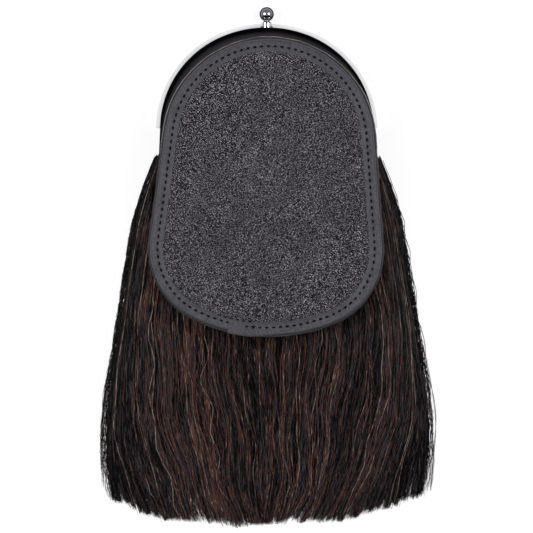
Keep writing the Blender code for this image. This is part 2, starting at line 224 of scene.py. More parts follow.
def half_outline(panel, samples=240):
    """The right half of a panel's outline from top to bottom: length so far, x, y, angle of its normal."""
    top_y = panel.top - panel.top_radius
    reach = panel.top_radius - panel.shoulder_radius
    shoulder = (reach * math.cos(SHOULDER_ANGLE), top_y + reach * math.sin(SHOULDER_ANGLE))
    corner_x = panel.half_width - panel.corner_radius
    drop = math.sqrt((panel.bottom_radius - panel.corner_radius) ** 2 - corner_x**2)
    corner = (corner_x, panel.bottom + panel.bottom_radius - drop)
    dx, dy = shoulder[0] - corner[0], shoulder[1] - corner[1]
    growth = panel.corner_radius - panel.shoulder_radius
    flare = math.asin(growth / math.hypot(dx, dy)) - math.atan2(dx, dy)
    turn = math.atan2(-drop, corner_x)
    arcs = (
        ((0.0, top_y), panel.top_radius, math.pi / 2, SHOULDER_ANGLE),
        (shoulder, panel.shoulder_radius, SHOULDER_ANGLE, flare),
        (corner, panel.corner_radius, flare, turn),
        ((0.0, panel.bottom + panel.bottom_radius), panel.bottom_radius, turn, -math.pi / 2),
    )
    angle = np.concatenate([np.linspace(start, end, samples) for _, _, start, end in arcs])
    x = np.concatenate([c[0] + r * np.cos(np.linspace(a, b, samples)) for c, r, a, b in arcs])
    y = np.concatenate([c[1] + r * np.sin(np.linspace(a, b, samples)) for c, r, a, b in arcs])
    length = np.concatenate([[0.0], np.cumsum(np.hypot(np.diff(x), np.diff(y)))])
    return length, x, y, angle


def perimeter(panel):
    """Length of a panel's outline."""
    return 2 * half_outline(panel)[0][-1]


def around(count):
    """Places evenly round an outline, as shares of it, clockwise from the top."""
    return np.arange(count) / count


def edge_points(panel, shares, grow=0.0, lean=False):
    """x and y at these shares round a panel's outline, moved out by grow."""
    length, x, y, angle = half_outline(panel)
    place = (np.asarray(shares) % 1.0) * 2 * length[-1]
    left = place > length[-1]
    half = np.where(left, 2 * length[-1] - place, place)
    turn = np.interp(half, length, angle)
    px = np.interp(half, length, x) + grow * np.cos(turn)
    py = np.interp(half, length, y) + grow * np.sin(turn)
    px = np.where(left, -px, px)
    return leaned(px, py) if lean else (px, py)


def leaned(x, y):
    """Points of the back, turned with it."""
    dx, dy = x - LEAN_PIVOT[0], y - LEAN_PIVOT[1]
    cos, sin = math.cos(FLAP_LEAN), math.sin(FLAP_LEAN)
    return LEAN_PIVOT[0] + dx * cos - dy * sin, LEAN_PIVOT[1] + dx * sin + dy * cos


def ring(xy, z):
    """Points of one loop from its x and y, at one height or at a height each."""
    x, y = xy
    return np.stack([x, y, np.broadcast_to(z, x.shape)], axis=-1)


def blend(a, b, share):
    """From a to b by a share."""
    return a + (b - a) * share


def eased(share):
    """0 to 1 with level ends."""
    share = np.clip(share, 0.0, 1.0)
    return share * share * (3 - 2 * share)


def waves(seed, *phases):
    """A slow, even wobble between about -1 and 1 over any number of running phases."""
    rng = np.random.default_rng(seed)
    total = 0.0
    for _ in range(5):
        turn = sum(rng.uniform(-1.0, 1.0) * phase for phase in phases)
        total = total + np.sin(turn * 2 * math.pi + rng.uniform(0, 2 * math.pi))
    return total / 2.5


def flap_height(inward):
    """Middle of the back flap's thickness, this far in from its edge."""
    near_edge = 1 - np.clip(np.asarray(inward) / FLAP_SAG_WIDTH, 0.0, 1.0)
    return FLAP_MIDDLE - FLAP_SAG * near_edge**2


# Materials

class Finish:
    """A material under construction: a Principled shader and short ways to add nodes."""

    def __init__(self, name, **sockets):
        self.material = bpy.data.materials.new(name)
        self.material.use_nodes = True
        self.tree = self.material.node_tree
        self.shader = self.tree.nodes["Principled BSDF"]
        for socket, value in sockets.items():
            self.shader.inputs[socket.replace("_", " ")].default_value = value
        self.place = None

    def node(self, kind, settings=None, **inputs):
        """A node with its settings, and its inputs fed by name."""
        node = self.tree.nodes.new(kind)
        for key, value in (settings or {}).items():
            setattr(node, key, value)
        for key, value in inputs.items():
            self.feed(node.inputs[key.replace("_", " ")], value)
        return node

    def feed(self, socket, value):
        """Link a socket to another, or set its number or colour."""
        if isinstance(value, bpy.types.NodeSocket):
            self.tree.links.new(value, socket)
        else:
            socket.default_value = value

    def coordinates(self, stretch=None):
        """Object coordinates, drawn out by a factor along each axis if asked."""
        if self.place is None:
            self.place = self.node("ShaderNodeTexCoord").outputs["Object"]
        if stretch is None:
            return self.place
        return self.node("ShaderNodeMapping", Vector=self.place, Scale=stretch).outputs["Vector"]

    def noise(self, per_metre, detail=4.0, roughness=0.55, stretch=None):
        """Smooth noise, 0 to 1, with this many waves a metre."""
        node = self.node("ShaderNodeTexNoise", Vector=self.coordinates(stretch), Scale=per_metre,
                         Detail=detail, Roughness=roughness)
        return node.outputs["Fac"]

    def cells(self, place, per_metre, smoothness=1.0):
        """Distance from the middle of each small cell, as in a pebbled grain."""
        node = self.node("ShaderNodeTexVoronoi", {"feature": "SMOOTH_F1"}, Vector=place, Scale=per_metre,
                         Smoothness=smoothness)
        return node.outputs["Distance"]

    def height_along(self, axis):
        """The place along one axis, in metres."""
        return self.node("ShaderNodeSeparateXYZ", Vector=self.coordinates()).outputs[axis]

    def attribute(self, name):
        """The number that the piece stores for each of its points."""
        return self.node("ShaderNodeAttribute", {"attribute_name": name}).outputs["Fac"]

    def math(self, operation, a, b=0.0, c=0.0):
        """One sum on values or sockets."""
        node = self.node("ShaderNodeMath", {"operation": operation})
        for socket, value in zip(node.inputs, (a, b, c)):
            self.feed(socket, value)
        return node.outputs[0]

    def spread(self, value, low, high, to_low=0.0, to_high=1.0):
        """value from low..high to to_low..to_high, held at the ends."""
        node = self.node("ShaderNodeMapRange", {"clamp": True}, Value=value)
        for name, number in (("From Min", low), ("From Max", high), ("To Min", to_low), ("To Max", to_high)):
            node.inputs[name].default_value = number
        return node.outputs["Result"]

    def ramp(self, value, *stops):
        """A colour for a value: stops are (position, (r, g, b))."""
        node = self.node("ShaderNodeValToRGB", Fac=value)
        elements = node.color_ramp.elements
        while len(elements) < len(stops):
            elements.new(0.5)
        for element, (position, colour) in zip(elements, stops):
            element.position = position
            element.color = (*colour, 1.0)
        return node.outputs["Color"]

    def mix(self, share, a, b):
        """One colour over another."""
        node = self.node("ShaderNodeMix", {"data_type": "RGBA"})
        colours = [s for s in node.inputs if s.type == "RGBA"]
        self.feed(node.inputs[0], share)
        for socket, value in zip(colours, (a, b)):
            self.feed(socket, value if isinstance(value, bpy.types.NodeSocket) else (*value, 1.0))
        return next(s for s in node.outputs if s.type == "RGBA")

    def bump(self, height, depth, strength=1.0, over=None):
        """Relief from a 0 to 1 height, this deep in metres, over an earlier bump if given."""
        node = self.node("ShaderNodeBump", Height=height, Distance=depth, Strength=strength)
        if over is not None:
            self.feed(node.inputs["Normal"], over)
        return node.outputs["Normal"]

    def done(self, colour=None, roughness=None, normal=None):
        """The finished material, with what varies over the surface linked in."""
        for socket, value in (("Base Color", colour), ("Roughness", roughness), ("Normal", normal)):
            if value is not None:
                self.feed(self.shader.inputs[socket], value)
        return self.material


def chrome_finish():
    """Bright plate with a few fine hairlines and slightly duller patches."""
    f = Finish("chrome plate", Metallic=1.0)
    patches = f.noise(90, detail=3)
    lines = f.noise(900, detail=2, stretch=(1.0, 0.06, 1.0))
    colour = f.ramp(patches, (0.35, (0.59, 0.595, 0.605)), (0.7, (0.67, 0.675, 0.685)))
    roughness = f.spread(patches, 0.35, 0.75, 0.05, 0.11)
    return f.done(colour, roughness, f.bump(lines, 0.02 * MM, 0.25))


def ball_finish():
    """Painted reflection: dark in a wide band round the middle, standing in for the dark room that a chrome
    ball mirrors there; plain bright chrome at the top and bottom and on the neck.
    """
    f = Finish("chrome with painted reflection", Metallic=1.0, Specular_Tint=(0.12, 0.12, 0.13, 1.0))
    height = f.height_along("Z")
    off_middle = f.math("ABSOLUTE", f.math("SUBTRACT", height, BALL_HEIGHT))
    patches = f.noise(420, detail=3)
    off_middle = f.math("MULTIPLY_ADD", patches, 0.5 * MM, off_middle)
    # painted reflection: the dark stops paint in what the ball would mirror round its middle
    colour = f.ramp(
        f.spread(off_middle, 0.0, BALL_RADIUS),
        (0.10, (0.030, 0.029, 0.033)),
        (0.50, (0.040, 0.039, 0.043)),
        (0.68, (0.14, 0.14, 0.15)),
        (0.84, (0.58, 0.59, 0.60)),
    )
    up = f.height_along("Y")
    on_neck = f.spread(up, FRONT.top + 1.7 * MM, FRONT.top + 2.5 * MM, 1.0, 0.0)
    colour = f.mix(on_neck, colour, (0.66, 0.65, 0.66))
    return f.done(colour, f.spread(patches, 0.3, 0.7, 0.07, 0.14))


def smooth_leather_finish(name, dark, light, roughness, gloss, pore=1500, holes=False, low=None, painted_light_at_seam=None):
    """Finished calf with fine pores, creases and faint mottling.

    holes darkens it round the stitches. low and the colour for the back's seam paint light and shade into the
    side wall by its height:
    low is a lighter colour for its lower part and the seam colour a lighter one where it rolls in at the
    back's seam (painted light), while between them it keeps its near-black colour (painted shade).
    """
    f = Finish(name, Specular_IOR_Level=gloss)
    mottle = f.noise(60, detail=5)
    pores = f.noise(pore, detail=3, roughness=0.6)
    cells = f.cells(f.coordinates(), pore * 0.55)
    grain = f.math("MULTIPLY_ADD", cells, 0.7, f.math("MULTIPLY", pores, 0.6))
    colour = f.ramp(mottle, (0.3, dark), (0.72, light))
    # painted light and shade by height: lighter low on the wall and at the back's seam, near black between
    if low and painted_light_at_seam:
        height = f.height_along("Z")
        colour = f.mix(f.spread(height, 0.30 * GUSSET_TOP, 0.55 * GUSSET_TOP, 1.0, 0.0), colour, low)
        colour = f.mix(f.spread(height, 0.80 * GUSSET_TOP, 0.97 * GUSSET_TOP), colour, painted_light_at_seam)
    if holes:
        colour = f.mix(f.spread(pores, 0.38, 0.58, 0.55, 0.0), colour, (0.008, 0.008, 0.010))
        colour = f.mix(f.attribute("hole"), colour, (0.003, 0.003, 0.0035))
    rough = f.spread(pores, 0.3, 0.7, roughness - 0.05, roughness + 0.08)
    creases = f.bump(mottle, 0.5 * MM, 0.25)
    return f.done(colour, rough, f.bump(grain, 0.12 * MM, 0.5, over=creases))


def pebbled_leather_finish():
    """Embossed pebble grain: rounded pebbles of mixed sizes with narrow valleys, with painted sheen on their
    tops, painted shade in the valleys and painted glints.
    """
    f = Finish("pebbled leather", Specular_IOR_Level=0.16)
    drift = f.node("ShaderNodeTexNoise", Vector=f.coordinates(), Scale=380.0, Detail=2.0)
    shifted = f.node("ShaderNodeVectorMath", {"operation": "MULTIPLY_ADD"})
    f.feed(shifted.inputs[0], drift.outputs["Color"])
    f.feed(shifted.inputs[1], (1.5 * MM,) * 3)
    f.feed(shifted.inputs[2], f.coordinates())
    place = shifted.outputs["Vector"]
    domes = f.math("SUBTRACT", 1.0, f.math("POWER", f.cells(place, 1650, 0.15), 1.6))
    beads = f.math("SUBTRACT", 1.0, f.cells(place, 2450, 0.15))
    fine = f.noise(2600, detail=3)
    height = f.math("MULTIPLY_ADD", beads, 0.45, domes)
    height = f.math("MULTIPLY_ADD", fine, 0.12, height)
    mottle = f.noise(24, detail=6, roughness=0.6)
    speckle = f.noise(2000, detail=1, roughness=0.5)
    # painted sheen on the pebble tops and painted shade in the valleys: the grain's light and shade is drawn
    # into its colour
    painted_sheen = f.spread(f.math("MULTIPLY_ADD", speckle, 1.6, height), 1.932, 2.068)
    base = f.ramp(mottle, (0.3, (0.0012, 0.0011, 0.0015)), (0.7, (0.0034, 0.0031, 0.0040)))
    tops = f.ramp(mottle, (0.3, (0.250, 0.237, 0.274)), (0.7, (0.400, 0.378, 0.425)))
    colour = f.mix(painted_sheen, base, tops)
    # painted glints: small bright specks
    colour = f.mix(f.spread(speckle, 0.62, 0.70), colour, (0.50, 0.47, 0.52))
    roughness = f.spread(height, 0.9, 1.4, 0.55, 0.30)
    slow = f.bump(f.noise(22, detail=2), 1.6 * MM, 0.18)
    return f.done(colour, roughness, f.bump(height, 0.5 * MM, 1.0, over=slow))


def cut_edge_finish():
    """Black leather whose cut edge shows bare: a fibrous tan-grey line, handled darker in random patches, and
    darker towards the bottom as painted shade.
    """
    f = Finish("cut leather edge", Specular_IOR_Level=0.35)
    fibre = f.noise(1900, detail=4, roughness=0.7)
    patches = f.noise(70, detail=4)
    bare = f.ramp(fibre, (0.3, (0.20, 0.18, 0.16)), (0.7, (0.46, 0.42, 0.38)))
    handled_and_shaded = f.mix(f.spread(patches, 0.42, 0.64, 0.0, 0.75), bare, (0.045, 0.036, 0.031))
    # painted shade: the bare edge turns dark towards the bottom of the flap
    up = f.height_along("Y")
    handled_and_shaded = f.mix(f.spread(up, 55 * MM, 105 * MM, 1.0, 0.0), handled_and_shaded, (0.012, 0.0115, 0.012))
    dyed = f.ramp(patches, (0.3, (0.011, 0.011, 0.012)), (0.7, (0.018, 0.017, 0.019)))
    share = f.spread(f.attribute("cut"), 0.55, 0.9)
    colour = f.mix(share, dyed, handled_and_shaded)
    roughness = f.spread(share, 0.0, 1.0, 0.45, 0.9)
    return f.done(colour, roughness, f.bump(fibre, 0.15 * MM, 0.6))


def thread_finish():
    """Twisted black thread with a little wax."""
    f = Finish("waxed thread", Specular_IOR_Level=0.06)
    twist = f.noise(3800, detail=2)
    colour = f.ramp(twist, (0.3, (0.0010, 0.0010, 0.0012)), (0.7, (0.0036, 0.0034, 0.0042)))
    return f.done(colour, f.spread(twist, 0.3, 0.7, 0.5, 0.75), f.bump(twist, 0.15 * MM, 0.6))


def hair_finish(name):
    """Horsehair from black through brown and auburn to a few pale ones, by each strand's own tint; the cool
    grey stops are painted sheen, and the streaks along the strands are partly colour and partly painted
    sheen.
    """
    f = Finish(name, Specular_IOR_Level=0.08)
    # streaks along the strands: partly colour, partly painted sheen
    streaks = f.noise(1000, detail=2, stretch=(1.0, 0.09, 1.0))
    tone = f.math("MULTIPLY_ADD", streaks, 0.9, f.math("SUBTRACT", f.attribute("tint"), 0.45))
    colour = f.ramp(
        tone,
        (0.00, (0.0010, 0.0009, 0.0011)),
        (0.28, (0.0022, 0.0018, 0.0022)),
        (0.41, (0.0130, 0.0104, 0.0118)),
        # painted sheen: cool grey strands stand in for light glancing off dark hair
        (0.52, (0.0600, 0.0540, 0.0620)),
        (0.59, (0.0640, 0.0540, 0.0600)),
        (0.65, (0.0620, 0.0330, 0.0310)),
        (0.74, (0.1050, 0.0440, 0.0340)),
        (0.85, (0.1750, 0.0740, 0.0520)),
        (0.93, (0.2800, 0.1800, 0.1200)),
        (1.00, (0.4500, 0.3800, 0.3200)),
    )
    roughness = f.spread(f.noise(500, detail=2), 0.3, 0.7, 0.30, 0.46)
    return f.done(colour, roughness)


def core_finish():
    """The hair below the top strands: near black as painted shade of the hair deep inside, drawn out along
    the hair.
    """
    f = Finish("deep hair", Specular_IOR_Level=0.12)
    streaks = f.noise(420, detail=5, roughness=0.7, stretch=(1.0, 0.035, 1.0))
    colour = f.ramp(streaks, (0.38, (0.0016, 0.0014, 0.0014)), (0.60, (0.0060, 0.0040, 0.0036)),
                    (0.78, (0.0300, 0.0150, 0.0110)))
    roughness = f.spread(streaks, 0.3, 0.7, 0.6, 0.45)
    return f.done(colour, roughness, f.bump(streaks, 0.9 * MM, 0.9))


def floor_finish():
    """A white table, lit a little from below so that the pale ground is even."""
    f = Finish("white table", Specular_IOR_Level=0.2)
    f.shader.inputs["Base Color"].default_value = (0.25, 0.25, 0.25, 1.0)
    f.shader.inputs["Roughness"].default_value = 0.8
    f.shader.inputs["Emission Color"].default_value = (1.0, 1.0, 1.0, 1.0)
    f.shader.inputs["Emission Strength"].default_value = 0.80
    return f.material


CHROME = chrome_finish()
BALL_CHROME = ball_finish()
# The side wall: near black over its middle as painted shade, lighter on its lower part and at the back's seam
# as painted light.
GUSSET_LEATHER = smooth_leather_finish("black calf", (0.0012, 0.0012, 0.0013), (0.0030, 0.0029, 0.0033),
                                       0.55, 0.0, low=(0.0240, 0.0233, 0.0255),
                                       painted_light_at_seam=(0.0400, 0.0380, 0.0430))
FRONT_LEATHER = smooth_leather_finish("front calf", (0.016, 0.0155, 0.017), (0.024, 0.0235, 0.025), 0.46, 0.4)
BINDING_CALF = smooth_leather_finish("binding calf", (0.050, 0.049, 0.059), (0.068, 0.066, 0.079),
                                     0.50, 0.3, pore=850, holes=True)
PEBBLED = pebbled_leather_finish()
CUT_EDGE = cut_edge_finish()
THREAD = thread_finish()
HAIR = hair_finish("horsehair")
DEEP_HAIR = core_finish()


# Metal

def rounded(corners, radius, steps=4):
    """A closed section whose corners are rounded off: corners are (inward, height)."""
    points = []
    for i, corner in enumerate(corners):
        here = Vector(corner)
        before = Vector(corners[i - 1]) - here
        after = Vector(corners[(i + 1) % len(corners)]) - here
        cut = min(radius, before.length * 0.45, after.length * 0.45)
        first, last = here + before.normalized() * cut, here + after.normalized() * cut
        for s in range(steps + 1):
            t = s / steps
            points.append(tuple(first.lerp(here, t).lerp(here.lerp(last, t), t)))
    return points


def arch_edge(count):
    """Points along the arch's outer edge from its left end to its right end."""
    length, x, y, _ = half_outline(FRONT)
    end = np.interp(-ARCH_END, -y, length)
    along = np.linspace(-end, end, count)
    half = np.abs(along)
    return np.copysign(np.interp(half, length, x), along), np.interp(half, length, y)


def make_arch():
    """The crescent with its raised borders in front, and the rim turned back over the pouch."""
    count = 241
    ox, oy = arch_edge(count)
    half = ox[-1] - ARCH_END_WIDTH
    rise = ARCH_MIDDLE - ARCH_END
    radius = (half**2 + rise**2) / (2 * rise)
    sweep = math.asin(half / radius)
    angle = np.linspace(-sweep, sweep, count)
    ix, iy = radius * np.sin(angle), ARCH_MIDDLE - radius + radius * np.cos(angle)
    rings = []
    for i in range(count):
        width = math.hypot(ix[i] - ox[i], iy[i] - oy[i])
        near_end = min(i, count - 1 - i) / 6
        recess = ARCH_RECESS * blend(0.1, 1.0, float(eased(near_end)))
        plate = recess + ARCH_METAL
        soft = ARCH_METAL * 0.7
        corners = (
            (0.0, 0.0),
            (0.0, ARCH_BORDER),
            (RIM_TURN_IN, RIM_DEPTH - RIM_CHAMFER),
            (RIM_TURN_IN + ARCH_METAL, RIM_DEPTH),
            (ARCH_METAL, ARCH_BORDER + plate / 2),
            (ARCH_BORDER, plate),
            (width, plate),
            (width, 0.0),
            (width - ARCH_BORDER, 0.0),
            (width - ARCH_BORDER - soft, recess),
            (ARCH_BORDER + soft, recess),
            (ARCH_BORDER, 0.0),
        )
        section = np.array(rounded(corners, 0.45 * MM))
        share = section[:, 0] / width
        rings.append(ring((blend(ox[i], ix[i], share), blend(oy[i], iy[i], share)), section[:, 1]))
    piece = skin("chrome_arch", rings, CHROME, capped=True, sharp=50)
    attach(piece, "root")
    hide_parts("cantle")


def make_ball():
    """The ball on its waisted neck and collar, turned about Y."""
    sides = 56
    low_angle = -math.acos(NECK_RADIUS / BALL_RADIUS)
    neck_top = BALL_STAND + BALL_RADIUS * math.sin(low_angle)
    profile = [(None, FOOT_RADIUS)]
    for share in np.linspace(0.0, 1.0, 9)[:-1]:
        flare = (1 - share) ** 2.2
        profile.append((blend(0.1 * MM, neck_top, share), blend(NECK_RADIUS, FOOT_RADIUS, flare)))
    for angle in np.linspace(low_angle, math.pi / 2 * 0.985, 30):
        profile.append((BALL_STAND + BALL_RADIUS * math.sin(angle), BALL_RADIUS * math.cos(angle)))
    turn = 2 * math.pi * np.arange(sides) / sides
    rings = []
    upper = np.maximum(np.sin(turn), 0.0)
    for up, size in profile:
        on_ball = up is not None and up > neck_top
        spread = 0.0 if on_ball else (size - NECK_RADIUS) / (FOOT_RADIUS - NECK_RADIUS)
        raised = (size + FOOT_RISE) * upper**0.4 - size * upper
        z = BALL_HEIGHT + size * np.sin(turn) + spread * raised
        turned_in = RIM_TURN_IN * np.clip((z - ARCH_BORDER) / (RIM_DEPTH - ARCH_BORDER), 0.0, 1.0)
        over_rim = FOOT_LAP * eased((z - RIM_DEPTH + FOOT_LAP) / (1.0 * MM))
        seat = FRONT.top - turned_in + CLEARANCE - over_rim
        y = seat if up is None else np.full(sides, FRONT.top + up)
        rings.append(np.stack([size * np.cos(turn), y, z], axis=-1))
    piece = skin("chrome_ball", rings, BALL_CHROME, capped=True, sharp=60)
    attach(piece, "root")
    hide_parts("finial")


# Leather

def roll_at(depth, column):
    """One column of ROLLS at a share of the pouch's depth."""
    return float(np.interp(depth, [r.depth for r in ROLLS], [getattr(r, column) for r in ROLLS]))


def side_wall_ring(shares, depth, mix, inset, fold=0.0):
    """The gusset's outline at a share of the pouch's depth, moved in by inset."""
    fx, fy = edge_points(FRONT, shares, -FRONT_INSET - inset + fold)
    bx, by = edge_points(FLAP, shares, RAW_EDGE - SEAM_SETBACK - inset + fold, lean=True)
    return ring((blend(fx, bx, mix), blend(fy, by, mix)), blend(GUSSET_BASE, GUSSET_TOP, depth))


def make_gusset():
    """The side wall: it rolls in to the back, with soft uneven folds of worked leather."""
    shares = around(480)
    depths = 0.5 - 0.5 * np.cos(np.linspace(0, math.pi, 22))
    outer, inner = [], []
    for depth in depths:
        mix = roll_at(depth, "blend")
        fold = SIDE_FOLD * roll_at(depth, "fold") * waves(11, shares * 9, np.full(len(shares), depth * 1.4))
        outer.append(side_wall_ring(shares, depth, mix, 0.0, fold))
    for depth in depths[::-3]:
        inner.append(side_wall_ring(shares, depth, roll_at(depth, "blend"), LEATHER))
    piece = skin("gusset_leather", outer + inner, GUSSET_LEATHER, capped=False)
    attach(piece, "root")
    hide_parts("gusset")


def mouth_points(shares):
    """The mouth's edge in the back layer, a rounded slot."""
    middle = (MOUTH_TOP + MOUTH_BOTTOM) / 2
    half_height = (MOUTH_TOP - MOUTH_BOTTOM) / 2
    x, y = edge_points(FLAP, shares)
    angle = np.arctan2((y - middle) / half_height, x / MOUTH_HALF_WIDTH)
    cos, sin = np.cos(angle), np.sin(angle)
    px = MOUTH_HALF_WIDTH * np.copysign(np.sqrt(np.abs(cos)), cos)
    py = middle + half_height * np.copysign(np.sqrt(np.abs(sin)), sin)
    return leaned(px, py)


def make_back_layer():
    """The layer under the flap: its cut edge shows as a light line round the binding."""
    count = 640
    shares = around(count)
    middle, half = (BACK_LAYER_BASE + BACK_LAYER_TOP) / 2, LEATHER / 2
    wander = 0.18 * MM * waves(5, shares * 31) + 0.12 * MM * waves(6, shares * 90)
    rings, cut = [], []
    for angle in np.linspace(-math.pi / 2, math.pi / 2, 11):
        out = RAW_EDGE - half + half * math.cos(angle)
        edge = edge_points(FLAP, shares, out + wander, lean=True)
        rings.append(ring(edge, middle + half * math.sin(angle)))
        cut.append(np.full(count, math.cos(angle) ** 0.6))
    for back in (1.2 * MM, 6.0 * MM):
        rings.append(ring(edge_points(FLAP, shares, RAW_EDGE - half - back, lean=True), BACK_LAYER_TOP))
    for z in (BACK_LAYER_TOP, BACK_LAYER_BASE):
        rings.append(ring(mouth_points(shares), z))
    rings.append(ring(edge_points(FLAP, shares, RAW_EDGE - half - 6.0 * MM, lean=True), BACK_LAYER_BASE))
    cut += [np.zeros(count)] * 5
    piece = skin("back_layer", rings, CUT_EDGE, capped=False)
    store(piece, "cut", cut)
    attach(piece, "root")
    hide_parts("back_wall")


EVEN_BAND = 30.0 * MM  # the panel's rings follow its edge this far in
CLOSING_RUN = 48.0 * MM  # and close on its middle over this much more


def make_back():
    """The pebbled panel: nearly flat, soft hollows here and there, coming down a little to its edge."""
    shares = around(360)
    half = PANEL_LEATHER / 2
    centre = np.array(leaned(0.0, 0.055))

    def loop(inward, side):
        """One ring this far in from the edge, on the upper (1) or lower (-1) side."""
        x, y = edge_points(FLAP, shares, -min(inward, EVEN_BAND), lean=True)
        if inward > EVEN_BAND:
            left = 1 - (inward - EVEN_BAND) / CLOSING_RUN
            x, y = blend(centre[0], x, left), blend(centre[1], y, left)
        height = flap_height(inward) + side * half
        if side > 0:
            height = height + BACK_HOLLOW * waves(21, x * 16, y * 16) * eased((inward - 9 * MM) / (14 * MM))
        return ring((x, y), height)

    under = [loop(d, -1) for d in (47.0 * MM, EVEN_BAND, 20.0 * MM, 8.0 * MM, BINDING_INSET)]
    over = [loop(d, 1) for d in np.concatenate([[BINDING_INSET, 4 * MM], np.arange(7.0, 78.0, 1.7) * MM])]
    piece = skin("pebbled_back", under + over, PEBBLED, capped=True)
    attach(piece, "root")
    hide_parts("back_flap")


STITCH_INSET = 5.0 * MM
STITCH_PITCH = 4.6 * MM
ROUND_FLAP = perimeter(FLAP)
ROW_START = 0.5 + 25.6 * MM / ROUND_FLAP  # left of the lap's cut end
ROW_END = 1.5 + 12.2 * MM / ROUND_FLAP  # right of the place where the lap hides the row
SECOND_ROW_INSET = 8.0 * MM
SECOND_ROW_START = 0.5 + 10.0 * MM / ROUND_FLAP
SECOND_ROW_END = 0.5 + 33.0 * MM / ROUND_FLAP
STITCH_LENGTH = 2.9 * MM
STITCH_HEIGHT = 0.80 * MM


def row_shares(start, end, inset):
    """Where the stitches of a row lie, as shares round the flap, evenly spaced along the row."""
    fine = np.linspace(start, end, 4000)
    x, y = edge_points(FLAP, fine, -inset)
    length = np.concatenate([[0.0], np.cumsum(np.hypot(np.diff(x), np.diff(y)))])
    count = max(int(round(length[-1] / STITCH_PITCH)) + 1, 2)
    return np.interp(np.linspace(0, length[-1], count), length, fine)


MAIN_ROW = row_shares(ROW_START, ROW_END, STITCH_INSET)
SECOND_ROW = row_shares(SECOND_ROW_START, SECOND_ROW_END, SECOND_ROW_INSET)


def lap_share(shares):
    """How far the lapped end of the binding stands out at these places, from 0 to 1."""
    along = (0.5 - np.asarray(shares) % 1.0) * ROUND_FLAP
    return np.interp(along, [lap.along for lap in LAPS], [lap.share for lap in LAPS], left=0.0, right=0.0)


def pull_of_stitches(shares):
    """1 at a stitch, 0 midway between two, 0 where the row is missing."""
    turn = np.where(np.asarray(shares) % 1.0 < ROW_START % 1.0, shares % 1.0 + 1.0, shares % 1.0)
    index = np.interp(turn, MAIN_ROW, np.arange(len(MAIN_ROW)), left=0.5, right=len(MAIN_ROW) - 0.5)
    inside = (turn >= MAIN_ROW[0] - 0.002) & (turn <= MAIN_ROW[-1] + 0.002)
    return np.where(inside, 0.5 + 0.5 * np.cos(2 * math.pi * index), 0.0), inside


def binding_top(shares, inward):
    """Height of the binding's upper face above the flap's middle."""
    skived = eased((BINDING_WIDTH + 0.5 * MM - inward) / SKIVED_BAND)
    face = PANEL_LEATHER / 2 + blend(SKIVED_EDGE, CLEARANCE + BINDING_LEATHER, skived)
    pull, inside = pull_of_stitches(shares)
    groove = np.exp(-(((inward - STITCH_INSET) / GROOVE_WIDTH) ** 2))
    dip = groove * np.where(inside, ROW_GROOVE + STITCH_PULL * pull, 0.0)
    crown = BINDING_CROWN * np.sin(math.pi * np.clip(inward / BINDING_WIDTH, 0, 1))
    raised = LAP_RISE * lap_share(shares)
    ripple = waves(31, np.asarray(shares) * 60, np.full(np.shape(shares), inward / MM * 0.12))
    uneven = BINDING_UNEVEN * ripple
    return face + crown - dip + raised + uneven


def hole_share(shares, inward):
    """1 in a stitch's hole, fading out round it."""
    pull, _ = pull_of_stitches(shares)
    return pull**2 * np.exp(-(((inward - STITCH_INSET) / HOLE_WIDTH) ** 2))


def make_binding():
    """The strip folded round the flap's edge, drawn in at each stitch, one end lapped at the lower left."""
    lap_at = 0.5 - LAPS[0].along / ROUND_FLAP
    close = lap_at + np.array([-0.9, -0.5, -0.25, -0.12, -0.02, 0.06, 0.2, 0.5]) * MM / ROUND_FLAP
    shares = np.unique(np.concatenate([around(860), close]))
    face = PANEL_LEATHER / 2 + CLEARANCE + BINDING_LEATHER
    inside = PANEL_LEATHER / 2 + CLEARANCE
    lap = lap_share(shares)
    wander = 0.10 * MM * waves(41, shares * 37)
    fold = 1.9 * MM
    rings = []

    holes = []

    def add(inward, height, moves=1.0):
        """One ring of the strip; moves is how much of the lap's step and the wander it takes."""
        on_top = np.mean(height) > 0 and inward < 7 * MM
        holes.append(hole_share(shares, inward) if on_top else np.zeros(len(shares)))
        out = (lap * OVERLAP_STEP + wander) * moves - inward
        rings.append(ring(edge_points(FLAP, shares, out, lean=True), flap_height(inward) + height))

    add(BINDING_WIDTH, PANEL_LEATHER / 2, 0.0)
    for inward in (8.4, 8.2, 7.8, 7.2, 6.6, 6.2, 5.8, 5.4, 5.0, 4.6, 4.2, 3.8, 3.3, 2.7):
        add(inward * MM, binding_top(shares, inward * MM), float(eased((8.2 - inward) / 6)))
    top = binding_top(shares, fold)
    for angle in np.linspace(math.pi / 2, 0.0, 7):
        add(fold * (1 - math.cos(angle)), top * math.sin(angle))
    for angle in np.linspace(0.0, -math.pi / 2, 5)[1:]:
        add(fold * (1 - math.cos(angle)), face * math.sin(angle))
    add(BINDING_WIDTH, -face, 0.0)
    add(BINDING_WIDTH, -inside, 0.0)
    add(BINDING_INSET, -inside, 0.0)
    add(BINDING_INSET - CLEARANCE, 0.0, 0.0)
    add(BINDING_INSET, inside, 0.0)
    piece = skin("edge_binding", rings, BINDING_CALF, capped=False, sharp=55)
    store(piece, "hole", holes)
    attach(piece, "root")
    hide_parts("flap_binding")


# Geometry Nodes

